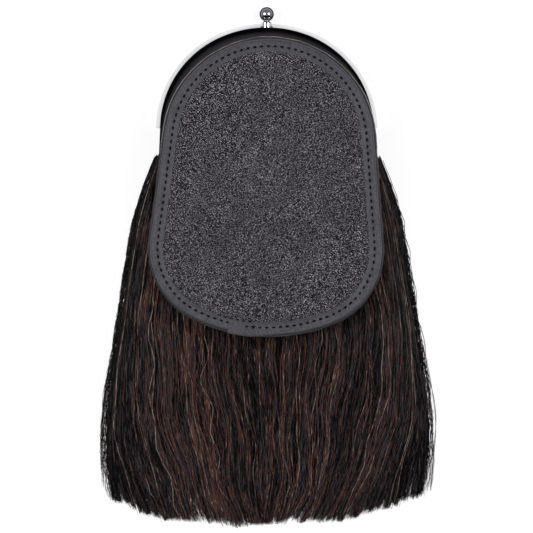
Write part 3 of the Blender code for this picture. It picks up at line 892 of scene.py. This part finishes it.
class Tree:
    """A Geometry Nodes tree under construction, with named inputs."""

    def __init__(self, name, inputs):
        self.group = bpy.data.node_groups.new(name, "GeometryNodeTree")
        sockets = self.group.interface
        sockets.new_socket("Geometry", in_out="OUTPUT", socket_type="NodeSocketGeometry")
        sockets.new_socket("Geometry", in_out="INPUT", socket_type="NodeSocketGeometry")
        for label, kind in inputs:
            sockets.new_socket(label, in_out="INPUT", socket_type="NodeSocket" + kind)
        self.input = self.group.nodes.new("NodeGroupInput")

    def node(self, kind, settings=None, **inputs):
        """A node with its settings, and its inputs fed by name. It returns its first output in use."""
        node = self.group.nodes.new(kind)
        for key, value in (settings or {}).items():
            setattr(node, key, value)
        for key, value in inputs.items():
            socket = next(s for s in node.inputs if s.enabled and s.name == key.replace("_", " "))
            if isinstance(value, bpy.types.NodeSocket):
                self.group.links.new(value, socket)
            else:
                socket.default_value = value
        return next((s for s in node.outputs if s.enabled), None)

    def end(self, geometry):
        """Every tree ends in Realize Instances and Set Material."""
        real = self.node("GeometryNodeRealizeInstances", Geometry=geometry)
        smooth = self.node("GeometryNodeSetShadeSmooth", Geometry=real)
        material = self.input.outputs["Material"]
        finished = self.node("GeometryNodeSetMaterial", Geometry=smooth, Material=material)
        out = self.group.nodes.new("NodeGroupOutput")
        self.group.links.new(finished, out.inputs[0])


def grown(name, carrier_mesh, tree, values):
    """The plain mesh that a tree makes of a carrier, as a piece."""
    carrier = bpy.data.objects.new(name + "_carrier", carrier_mesh)
    bpy.context.collection.objects.link(carrier)
    modifier = carrier.modifiers.new("grow", "NODES")
    modifier.node_group = tree.group
    for item in tree.group.interface.items_tree:
        if item.item_type == "SOCKET" and item.in_out == "INPUT" and item.name in values:
            modifier[item.identifier] = values[item.name]
    bpy.context.view_layer.update()
    evaluated = carrier.evaluated_get(bpy.context.evaluated_depsgraph_get())
    mesh = bpy.data.meshes.new_from_object(evaluated)
    carrier.modifiers.remove(modifier)
    bpy.data.objects.remove(carrier, do_unlink=True)
    mesh.name = name
    piece = bpy.data.objects.new(name, mesh)
    bpy.context.collection.objects.link(piece)
    return piece


def lines_mesh(name, points):
    """Open polylines, all with the same number of points: an array of lines × points × 3."""
    lines, count = points.shape[:2]
    starts = np.arange(lines)[:, None] * count + np.arange(count - 1)[None, :]
    edges = np.stack([starts, starts + 1], axis=-1).reshape(-1, 2)
    mesh = bpy.data.meshes.new(name)
    mesh.vertices.add(lines * count)
    mesh.vertices.foreach_set("co", points.astype(np.float32).ravel())
    mesh.edges.add(len(edges))
    mesh.edges.foreach_set("vertices", edges.astype(np.int32).ravel())
    mesh.update()
    return mesh


def stitch_tree():
    """An oval stitch on every point of a line, along the line's own direction."""
    tree = Tree("stitches along a row", (("Length", "Float"), ("Width", "Float"), ("Height", "Float"),
                                         ("Material", "Material")))
    take = tree.input.outputs
    curve = tree.node("GeometryNodeMeshToCurve", Mesh=take["Geometry"])
    ball = tree.node("GeometryNodeMeshUVSphere", Segments=8, Rings=6, Radius=0.5)
    size = tree.node("ShaderNodeCombineXYZ", X=take["Length"], Y=take["Width"], Z=take["Height"])
    along = tree.node("GeometryNodeInputTangent")
    turn = tree.node("FunctionNodeAlignRotationToVector", {"axis": "X"}, Vector=along)
    spread = tree.node("GeometryNodeInstanceOnPoints", Points=curve, Instance=ball, Rotation=turn, Scale=size)
    tree.end(spread)
    return tree


def make_stitches(tree):
    """Both rows of stitches, one row of points each, sunk a little into the leather."""
    for name, shares, inset, width, raise_by in (
        ("back_stitches", MAIN_ROW, STITCH_INSET, 1.6 * MM, 0.02 * MM),
        ("lap_stitches", SECOND_ROW, SECOND_ROW_INSET, 1.0 * MM, -0.10 * MM),
    ):
        x, y = edge_points(FLAP, shares, -inset, lean=True)
        z = flap_height(inset) + binding_top(shares, inset) + raise_by
        points = np.stack([x, y, z], axis=-1)[None]
        piece = grown(name, lines_mesh(name, points), tree,
                      {"Length": STITCH_LENGTH, "Width": width, "Height": STITCH_HEIGHT, "Material": THREAD})
        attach(piece, "root")


# Hair

def fall_table():
    """The three columns of FALLS drawn through smoothly: fine rows of share, width and depth."""
    fine = np.linspace(0.0, 1.0, 400)
    falls = np.array([row.fall for row in FALLS])
    i = np.clip(np.searchsorted(falls, fine, side="right") - 1, 0, len(FALLS) - 2)
    t = (fine - falls[i]) / (falls[i + 1] - falls[i])
    columns = []
    for name in ("width", "depth"):
        values = np.array([getattr(row, name) for row in FALLS])
        a, b, c, d = (values[np.clip(i + k, 0, len(FALLS) - 1)] for k in (-1, 0, 1, 2))
        columns.append(b + 0.5 * t * (c - a + t * (2 * a - 5 * b + 4 * c - d + t * (3 * (b - c) + d - a))))
    return fine, columns[0], columns[1]


FALL_SHARES, FALL_WIDTHS, FALL_DEPTHS = fall_table()


def half_width(y):
    """Half the hair's width at a height along Y."""
    return HAIR_HALF_WIDTH * np.interp((HAIR_TOP - y) / HAIR_LENGTH, FALL_SHARES, FALL_WIDTHS)


def root_y(side):
    """Where the roots lie along Y, lower towards the sides."""
    return HAIR_TOP - ROOT_DROP * np.abs(side) ** ROOT_POWER


def tip_y(across):
    """Where the longest tips lie along Y."""
    return np.interp(across, [tip.across for tip in TIPS], [tip.y for tip in TIPS])


def wall_table():
    """The pouch's side wall as reach from its middle for each direction."""
    shares = around(720)
    low = side_wall_ring(shares, 0.0, 0.0, 0.0)
    high = side_wall_ring(shares, 0.45, roll_at(0.45, "blend"), 0.0)
    turns = np.linspace(-math.pi, math.pi, 721)
    reach = []
    for loop in (low, high):
        dx, dy = loop[:, 0], loop[:, 1] - POUCH_MIDDLE
        turn = np.arctan2(dy, dx)
        order = np.argsort(turn)
        reach.append(np.interp(turns, turn[order], np.hypot(dx, dy)[order], period=2 * math.pi))
    return turns, np.maximum(*reach)


POUCH_MIDDLE = 60.0 * MM
WALL_TURNS, WALL_REACH = wall_table()


def outside_pouch(x, y):
    """How far a point is outside the pouch's side wall, negative under the pouch."""
    dy = y - POUCH_MIDDLE
    return np.hypot(x, dy) - np.interp(np.arctan2(dy, x), WALL_TURNS, WALL_REACH)


def hair_ceiling(x, y, across):
    """The hair's upper surface: low under the pouch, rising beside and below it."""
    share = (HAIR_TOP - y) / HAIR_LENGTH
    full = HAIR_DEPTH * np.interp(share, FALL_SHARES, FALL_DEPTHS)
    full = full * (1 - SIDE_THINNING * np.clip(np.abs(across), 0, 1) ** SIDE_POWER)
    under = np.minimum(UNDER_POUCH - 0.3 * MM, full)
    return blend(under, full, eased(outside_pouch(x, y) / RISE_RUN))


def hair_base(row):
    """The hair's lower surface: behind the arch's crescent at its roots, then down to the floor."""
    return BEHIND_ARCH * (1 - eased((row / ROOT_RUN - 0.3) / 0.7))


RISE_RUN = 5.0 * MM  # over which the hair comes up past the pouch's side wall
TOP_LAYERS = 7.0 * MM  # depth of the strands over the core
OVERHANG = 3.2 * MM  # how far the longest strands pass the solid's end
CORNER_OVERHANG = 2.6  # times as far near the two lower corners
COMBED_REACH = 0.945  # how far out the combed strands go freely, as a share of the half width
CURLED_REACH = 1.0  # the same for the curled ones at the sides
REACH_SPREAD = 0.018  # and how much this differs from strand to strand
EDGE_SLACK = 2.2 * MM  # how far a strand may still pass that reach
SHORTER = 1.4 * MM  # mean length that a wisp, and a strand in it, falls short of the longest tips
MUCH_SHORTER = 30.0 * MM  # at most this for one strand in ten
WISP_SPREAD = 0.80 * MM  # how far strands lie aside in a wisp
WISP_AT_TIP = 0.45 * MM  # the same at the tips
STRAY_SHARE = 0.16  # of the strands, which leave their wisps
STRAY_DRIFT = 4.5 * MM  # how far those drift sideways from root to tip
DRIFT = 2.0 * MM  # the same for all others
PATH_STEPS = 90  # points of a strand's path before it is cut to what shows
NEAR_POUCH = 16.0 * MM  # beside the pouch the hair is painted a little lighter over this far: painted light against the pouch's shadow
LEAN_IN = 0.30  # how much further out, as a share of the half width, a strand starts than it ends
LEAN_FROM = -15.0 * MM  # height along Y below which the strands lean in


def leaning(tip_across, y, y_tip):
    """Place across the hair, -1 to 1, of a strand that ends at tip_across, at height y."""
    side = np.clip(np.abs(tip_across), 0, 1)
    share = np.clip((y - y_tip) / (LEAN_FROM - y_tip), 0, 1)
    share = 1 - (1 - share) ** 2
    return tip_across + np.copysign(LEAN_IN * np.sin(math.pi * side**0.8) * share, tip_across)


def flow(x, y):
    """Slow sideways waves that all hair in a place shares, growing towards the tips."""
    free = eased((0.02 - y) / 0.12)
    wave = 2.2 * MM * np.sin(2 * math.pi * (y / 0.150 + x / 0.190) + 0.8)
    wave = wave + 1.4 * MM * np.sin(2 * math.pi * (y / 0.085 - x / 0.110) + 2.1)
    wave = wave + 0.8 * MM * np.sin(2 * math.pi * (y / 0.055 + x / 0.060) + 4.4)
    return wave * free * (1 - np.clip(np.abs(x) / 0.112, 0, 1) ** 4)


# A set of strands: how many and of how many points, in how many locks and wisps, from where to where
# across the tips (-1 to 1) and through the depth (0 to 1), where it starts, how far the strands stray
# and kink, what share of them is pale, and the seed of its random draws
Comb = namedtuple("Comb", "name strands points locks wisps left right low high start stray kink pale seed")
COMBS = (
    Comb("hair_front", 1500, 9, 40, 260, -0.96, 0.96, 0.00, 0.10, "roots", 0.8 * MM, 0.0, 0.0, 101),
    Comb("hair_left", 1700, 15, 22, 400, -0.955, -0.52, 0.40, 1.0, "pouch", 1.0 * MM, 0.0, 0.0, 102),
    Comb("hair_left_middle", 1700, 15, 22, 400, -0.56, 0.02, 0.40, 1.0, "pouch", 1.0 * MM, 0.0, 0.0, 103),
    Comb("hair_right_middle", 1700, 15, 22, 400, -0.02, 0.56, 0.40, 1.0, "pouch", 1.0 * MM, 0.0, 0.0, 104),
    Comb("hair_right", 1700, 15, 22, 400, 0.52, 0.955, 0.40, 1.0, "pouch", 1.0 * MM, 0.0, 0.0, 105),
    Comb("hair_edge_left", 72, 44, 10, 72, -1.0, -0.89, 0.2, 1.0, "pouch", 0.8 * MM, 1.5 * MM, 0.08, 106),
    Comb("hair_edge_right", 72, 44, 10, 72, 0.89, 1.0, 0.2, 1.0, "pouch", 0.8 * MM, 1.5 * MM, 0.08, 107),
    Comb("hair_tips", 1000, 10, 60, 700, -0.97, 0.97, 0.0, 1.0, "tips", 1.9 * MM, 1.2 * MM, 0.06, 108),
    Comb("hair_flyaways", 34, 30, 20, 34, -0.85, 0.85, 1.0, 1.06, "pouch", 3.0 * MM, 0.0, 0.5, 109),
)


# How far the cut ends fall short, from side to side
NICKS = np.random.default_rng(55).exponential(2.6 * MM, 250)


# Kinds of strand, each as share of all strands, middle and spread: by tint from black to pale, and by
# half thickness in millimetres
TINTS = ((0.33, 0.13, 0.06), (0.24, 0.39, 0.06), (0.25, 0.53, 0.04), (0.14, 0.66, 0.06), (0.04, 0.80, 0.04))
HALF_THICKNESSES = ((0.50, 0.15, 0.03), (0.50, 0.22, 0.04))


def drawn(rng, count, *kinds):
    """One number each from a mix of bell curves: kinds are (share, middle, spread)."""
    shares = np.cumsum([share for share, _, _ in kinds])
    pick = np.minimum(np.searchsorted(shares, rng.uniform(0, shares[-1], count)), len(kinds) - 1)
    middle = np.array([middle for _, middle, _ in kinds])[pick]
    spread = np.array([spread for _, _, spread in kinds])[pick]
    return rng.normal(middle, spread)


def wisp_places(rng, comb):
    """Where the wisps end across the hair: half even at the tips, half even where they leave the pouch."""
    steps = (np.arange(comb.wisps) + rng.uniform(0, 1, comb.wisps)) / comb.wisps
    ends = np.linspace(comb.left, comb.right, 200)
    starts = leaning(ends, LEAN_FROM, -0.17)
    even = blend(comb.left, comb.right, steps)
    from_starts = np.interp(blend(starts[0], starts[-1], steps), starts, ends)
    places = np.where(rng.uniform(size=comb.wisps) < 0.5, even, from_starts)
    return places, np.clip((places - comb.left) / (comb.right - comb.left), 0, 0.999)


class Sway:
    """Sideways curves, one for each of count strands, wisps or locks."""

    def __init__(self, rng, count, amount, shortest, longest):
        self.size = rng.normal(0.0, amount, count)
        self.length = rng.uniform(shortest, longest, count)
        self.phase = rng.uniform(0, 2 * math.pi, count)

    def at(self, pick, y):
        turn = 2 * math.pi * y / self.length[pick][:, None] + self.phase[pick][:, None]
        return self.size[pick][:, None] * np.sin(turn)


Group = namedtuple("Group", "wisp wisp_at lock lock_at stray")


def gathered(rng, comb):
    """Each strand's wisp and lock, where those end across the tips, and whether the strand strays."""
    wisp_at, steps = wisp_places(rng, comb)
    extra = max(comb.strands - comb.wisps, 0)
    wisp = np.concatenate([np.arange(comb.wisps), rng.integers(comb.wisps, size=extra)])[: comb.strands]
    lock = (steps * comb.locks + rng.normal(0, 0.25, comb.wisps)).astype(int)[wisp]
    lock = np.clip(lock, 0, comb.locks - 1)
    lock_at = blend(comb.left, comb.right, (np.arange(comb.locks) + 0.5) / comb.locks)
    stray = rng.uniform(size=comb.strands) < STRAY_SHARE
    return Group(wisp, wisp_at[wisp], lock, lock_at[lock], stray)


def roots_and_tips(rng, comb, group):
    """Where each strand starts and ends along Y, and how far aside it is in its wisp."""
    n = comb.strands
    short = rng.exponential(SHORTER, comb.wisps)[group.wisp] + rng.exponential(SHORTER, n)
    aside = rng.normal(0.0, 1.0, n)
    landing = group.wisp_at + aside * WISP_AT_TIP / HAIR_HALF_WIDTH
    short = short + np.interp(landing, np.linspace(-1.0, 1.0, len(NICKS)), NICKS)
    short = short + np.where(rng.uniform(size=n) < 0.10, rng.uniform(0, MUCH_SHORTER, n), 0.0)
    across_tip = np.clip(group.wisp_at, -0.995, 0.995)
    overhang = OVERHANG * blend(1.0, CORNER_OVERHANG, eased((np.abs(across_tip) - 0.86) / 0.1))
    y_tip = (tip_y(across_tip) + short - overhang)[:, None]
    y_root = root_y(leaning(across_tip[:, None], 0.1, y_tip)) - rng.uniform(0.0, 4.0 * MM, (n, 1))
    if comb.start == "tips":
        y_root = y_tip + rng.uniform(24 * MM, 50 * MM, (n, 1))
    return y_root, y_tip, aside


def sideways(rng, comb, group, row, y, y_tip, aside):
    """The strands' places along X: drawn to their locks, swung and fanned, and held in at the sides."""
    n = comb.strands
    across = leaning(np.clip(group.wisp_at, -0.995, 0.995)[:, None], y, y_tip)
    to_lock = leaning(group.lock_at[:, None], y, y_tip) - across
    lower = eased((0.02 - y) / 0.11)
    pull = 0.16 * lower * (1 - 0.7 * eased((0.045 - (y - y_tip)) / 0.04))
    across = across + to_lock * pull * np.where(group.stray, 0.4, 1.0)[:, None]
    x = across * half_width(y)
    free = eased((0.03 - y) / 0.08) * (1 - np.clip(np.abs(across), 0, 1) ** 6 * 0.8)
    everyone = np.arange(n)
    swing = Sway(rng, comb.locks, 1.5 * MM, 90 * MM, 200 * MM).at(group.lock, y)
    swing = swing + Sway(rng, comb.wisps, 0.9 * MM, 45 * MM, 120 * MM).at(group.wisp, y)
    swing = swing + Sway(rng, n, min(0.7 * comb.stray, 0.8 * MM), 26 * MM, 70 * MM).at(everyone, y)
    loose = Sway(rng, n, comb.stray, 70 * MM, 150 * MM).at(everyone, y)
    swing = swing + np.where(group.stray, 1.0, 0.0)[:, None] * loose
    drift = rng.normal(0.0, 1.0, (n, 1)) * np.where(group.stray, STRAY_DRIFT, DRIFT)[:, None] * (row - 0.55)
    fan = aside[:, None] * blend(WISP_SPREAD, WISP_AT_TIP, eased((0.03 - (y - y_tip)) / 0.03))
    x = x + flow(x, y) + free * (swing + drift) + fan
    edge = half_width(y)
    outer = CURLED_REACH if comb.name.startswith("hair_edge") else COMBED_REACH
    outer = outer + REACH_SPREAD * np.tanh(aside[:, None])
    beyond = np.maximum(np.abs(x) - outer * edge, 0.0)
    held = outer * edge + EDGE_SLACK * np.tanh(beyond / (2 * EDGE_SLACK))
    return np.where(beyond > 0, np.copysign(held, x), x)


def shown(rng, comb, row, x, y):
    """Each strand cut to what shows, from just under the pouch, in comb.points points; and its steps."""
    n, dense = x.shape
    first = np.zeros(n)
    if comb.start == "pouch":
        inside = outside_pouch(x, y) < -9.0 * MM - rng.uniform(0, 6 * MM, (n, 1))
        first = np.where(inside.any(axis=1), dense - 1 - np.argmax(inside[:, ::-1], axis=1), 0) / (dense - 1)
    step = np.linspace(0.0, 1.0, comb.points) ** (1.15 if comb.start == "pouch" else 1.0)
    rows = blend(first[:, None], 1.0, step[None, :])
    px = np.stack([np.interp(rows[i], row[0], x[i]) for i in range(n)])
    py = np.stack([np.interp(rows[i], row[0], y[i]) for i in range(n)])
    return px, py, step


def layered(rng, comb, group, px, py, step):
    """Each point's height and half thickness, the height where the hair starts, and each strand's lift."""
    n = comb.strands
    lift = rng.uniform(0, 1, comb.locks)[group.lock] * 0.28 + rng.uniform(0, 1, comb.wisps)[group.wisp] * 0.32
    lift = lift + rng.uniform(0, 1, n) * 0.40
    layer = blend(comb.low, comb.high, lift)[:, None]
    weave = np.sin(py / (rng.uniform(6, 14, (n, 1)) * MM) + rng.uniform(0, 6.3, (n, 1)))
    layer = layer + rng.uniform(0.02, 0.14, (n, 1)) * (weave - 0.3)
    layer = np.clip(layer, 0.0, max(comb.high, 1.0))
    size = np.abs(drawn(rng, n, *HALF_THICKNESSES))[:, None] * MM
    thick = size * np.interp(step, [0, 0.7, 0.94, 1.0], [1.0, 1.0, 0.85, 0.5])
    base = hair_base(np.clip((HAIR_TOP - py) / HAIR_LENGTH, 0, 1))
    top = np.maximum(hair_ceiling(px, py, px / half_width(py)), base + 2.2 * MM)
    if comb.start == "pouch":
        pz = top - thick - (1 - layer) * np.minimum(TOP_LAYERS, top - base - 2 * thick)
    else:
        pz = blend(base + thick, top - thick, layer)
    return pz, thick, base, lift


def kinked(rng, comb, px, py, pz, low, step):
    """Curls along the strands, no lower than low."""
    n = comb.strands
    size = rng.uniform(0.25, 1.0, (n, 1)) * comb.kink
    length = rng.uniform(5, 12, (n, 1)) * MM
    turn = 2 * math.pi * py / length
    px = px + size * np.sin(turn + rng.uniform(0, 6.3, (n, 1))) * eased(step * 4)
    pz = np.maximum(pz + 0.5 * size * np.cos(turn) * eased(step * 4), low)
    return px, pz


def tinted(rng, comb, group, px, py, lift):
    """Each point's tint, with painted shade and light in it, and which strands are pale."""
    n = comb.strands
    own = rng.uniform(size=n) < 0.55
    tint = np.where(own, drawn(rng, n, *TINTS), drawn(rng, comb.wisps, *TINTS)[group.wisp])
    side = np.clip(group.wisp_at, -0.995, 0.995) ** 2
    # painted shade and light: strands lower in the hair darker, strands towards the sides darker and those in
    # the middle lighter
    tint = tint * blend(0.42, 1.16, lift) * blend(1.18, 0.58, side)
    tint = np.clip(tint + rng.normal(0.0, 0.04, comb.locks)[group.lock], 0.0, 0.9)
    pale = rng.uniform(size=n) < comb.pale
    tint = np.where(pale, rng.uniform(0.90, 1.0, n), tint)[:, None]
    # painted light: hair beside the pouch is lightened against the pouch's shadow
    beside = 1 - eased(outside_pouch(px, py) / NEAR_POUCH)
    tint = tint + 0.10 * beside + rng.normal(0.0, 0.10, px.shape)
    return np.clip(tint, 0.0, np.where(pale, 1.0, 0.80)[:, None]), pale


def comb_paths(comb):
    """Strands gathered in wisps, and wisps in locks: each strand's points, half thickness and tint."""
    rng = np.random.default_rng(comb.seed)
    group = gathered(rng, comb)
    y_root, y_tip, aside = roots_and_tips(rng, comb, group)
    row = np.linspace(0.0, 1.0, PATH_STEPS)[None, :]
    y = blend(y_root, y_tip, row)
    x = sideways(rng, comb, group, row, y, y_tip, aside)
    px, py, step = shown(rng, comb, row, x, y)
    pz, thick, base, lift = layered(rng, comb, group, px, py, step)
    if comb.kink > 0:
        px, pz = kinked(rng, comb, px, py, pz, base + thick, step)
    tint, pale = tinted(rng, comb, group, px, py, lift)
    thick = np.where(pale, 0.6, 1.0)[:, None] * thick
    return np.stack([px, py, pz], axis=-1), thick, tint


def strand_tree():
    """Each polyline becomes a tapering strand with closed ends."""
    tree = Tree("strands", (("Sides", "Int"), ("Thickness factor", "Float"), ("Material", "Material")))
    take = tree.input.outputs
    curve = tree.node("GeometryNodeMeshToCurve", Mesh=take["Geometry"])
    section = tree.node("GeometryNodeCurvePrimitiveCircle", Resolution=take["Sides"], Radius=1.0)
    thick = tree.node("GeometryNodeInputNamedAttribute", {"data_type": "FLOAT"}, Name="thickness")
    scale = tree.node("ShaderNodeMath", {"operation": "MULTIPLY"})
    multiply = scale.node
    tree.group.links.new(thick, multiply.inputs[0])
    tree.group.links.new(take["Thickness factor"], multiply.inputs[1])
    tube = tree.node("GeometryNodeCurveToMesh", Curve=curve, Profile_Curve=section, Scale=scale,
                     Fill_Caps=True)
    tree.end(tube)
    return tree


def strand_piece(name, tree, points, thick, tint):
    """A piece of strands from their points, and each point's half thickness and tint."""
    carrier = lines_mesh(name, points)
    for label, values in (("thickness", thick), ("tint", tint)):
        values = np.broadcast_to(values, points.shape[:2]).astype(np.float32)
        carrier.attributes.new(label, "FLOAT", "POINT").data.foreach_set("value", values.ravel())
    piece = grown(name, carrier, tree, {"Sides": 3, "Thickness factor": 1.0, "Material": HAIR})
    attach(piece, "root")
    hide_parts("hair")
    return piece


CORE_SHORTER = 15.0 * MM  # the core ends this far before the longest tips
CORE_RAGGED = 9.0 * MM
CORE_RIDGE = 1.6 * MM
CORE_BELOW_TOP = 3.6 * MM  # room for the strands over it
CORE_ABOVE_FRONT = 2.2 * MM  # room for the strands on the front


def make_core():
    """The dark body of hair inside the strands: the solid's form, drawn in, ridged along the hair."""
    columns, rows = 121, 42
    across = np.linspace(-0.90, 0.90, columns)[:, None]
    row = np.linspace(0.0, 1.0, rows)[None, :]
    rng = np.random.default_rng(77)
    places = np.arange(columns)
    ragged = np.interp(places, places[::3], rng.uniform(0, CORE_RAGGED, len(places[::3])))
    ends = tip_y(across) + CORE_SHORTER + ragged[:, None]
    tops = root_y(across) - 1.0 * MM
    y = blend(tops, ends, row)
    lean = leaning(across, y, ends)
    x = lean * 0.955 * half_width(y)
    ridge = np.repeat(rng.uniform(0.0, 1.0, (columns, 1)), rows, axis=1) * CORE_RIDGE
    top = hair_ceiling(x, y, lean) - CORE_BELOW_TOP - ridge * np.minimum(1.0, row * 6)
    base = hair_base(row) + CORE_ABOVE_FRONT + 0.3 * ridge
    fade = eased((1 - row) * 7)
    top = np.maximum(blend(base + 1.0 * MM, top, 0.25 + 0.75 * fade), base + 0.8 * MM)
    top = np.minimum(top, np.where(outside_pouch(x, y) < 0.5 * MM, UNDER_POUCH - 0.4 * MM, 1.0))
    base = np.broadcast_to(base, top.shape)
    upper = np.stack([x, y, top], axis=-1)
    lower = np.stack([x, y, base], axis=-1)
    loops = np.concatenate([upper, lower[:, ::-1]], axis=1)
    piece = skin("hair_core", loops, DEEP_HAIR, capped=True, sharp=70)
    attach(piece, "root")
    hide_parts("hair")


# Studio

FLOOR_REACH = 6.0
FLOOR_DROP = 0.2 * MM  # the floor lies this far below the sporran, so that they don't share a plane
SENSOR = 36.0  # millimetres
LENS = 315.4  # millimetres: the sporran fills the picture as in the photo
CAMERA_PLACE = (-0.00014, -0.00034, 3.2)


def make_floor():
    """A large flat table top, which isn't part of the object."""
    turns = ((-1, -1), (1, -1), (1, 1), (-1, 1))
    corners = [(along_x * FLOOR_REACH, along_y * FLOOR_REACH, -FLOOR_DROP) for along_x, along_y in turns]
    floor = new_piece("floor", corners, [(0, 1, 2, 3)], floor_finish())
    if floor.data.polygons[0].normal.z < 0:
        floor.data.flip_normals()


def softbox(name, place, size, watts, target=(0.0, 0.0, 0.03)):
    """A soft rectangular light at a place, turned to the sporran."""
    light = bpy.data.lights.new(name, "AREA")
    light.shape = "RECTANGLE"
    light.size, light.size_y = size
    light.energy = watts
    box = bpy.data.objects.new(name, light)
    box.location = place
    box.rotation_euler = (Vector(target) - Vector(place)).to_track_quat("-Z", "Y").to_euler()
    box.visible_camera = False
    bpy.context.collection.objects.link(box)


def make_studio():
    """Two softboxes beside the sporran, a low one beyond its tips, and a pale room."""
    softbox("left softbox", (-1.20, 0.30, 1.70), (0.8, 0.8), 21)
    softbox("right softbox", (1.20, 0.30, 1.70), (0.8, 0.8), 21)
    softbox("low softbox", (0.0, -1.5, 1.60), (1.8, 0.5), 16)
    world = bpy.data.worlds.new("studio")
    world.use_nodes = True
    world.node_tree.nodes["Background"].inputs["Color"].default_value = (0.80, 0.81, 0.83, 1.0)
    world.node_tree.nodes["Background"].inputs["Strength"].default_value = 0.28
    bpy.context.scene.world = world
    bpy.context.scene.view_settings.view_transform = "Standard"


def make_camera():
    """Straight above the sporran, far off, so that the outlines are nearly flat."""
    camera = bpy.data.cameras.new("camera")
    camera.lens = LENS
    camera.sensor_width = SENSOR
    camera.clip_end = 50.0
    holder = bpy.data.objects.new("camera", camera)
    holder.location = CAMERA_PLACE
    bpy.context.collection.objects.link(holder)
    bpy.context.scene.camera = holder


make_camera()
make_floor()
make_studio()
make_arch()
make_ball()
make_gusset()
make_back_layer()
make_back()
make_binding()
make_stitches(stitch_tree())
make_core()
strands = strand_tree()
for comb in COMBS:
    strand_piece(comb.name, strands, *comb_paths(comb))

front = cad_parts["front_wall"]
for slot in front.material_slots:
    slot.material = FRONT_LEATHER
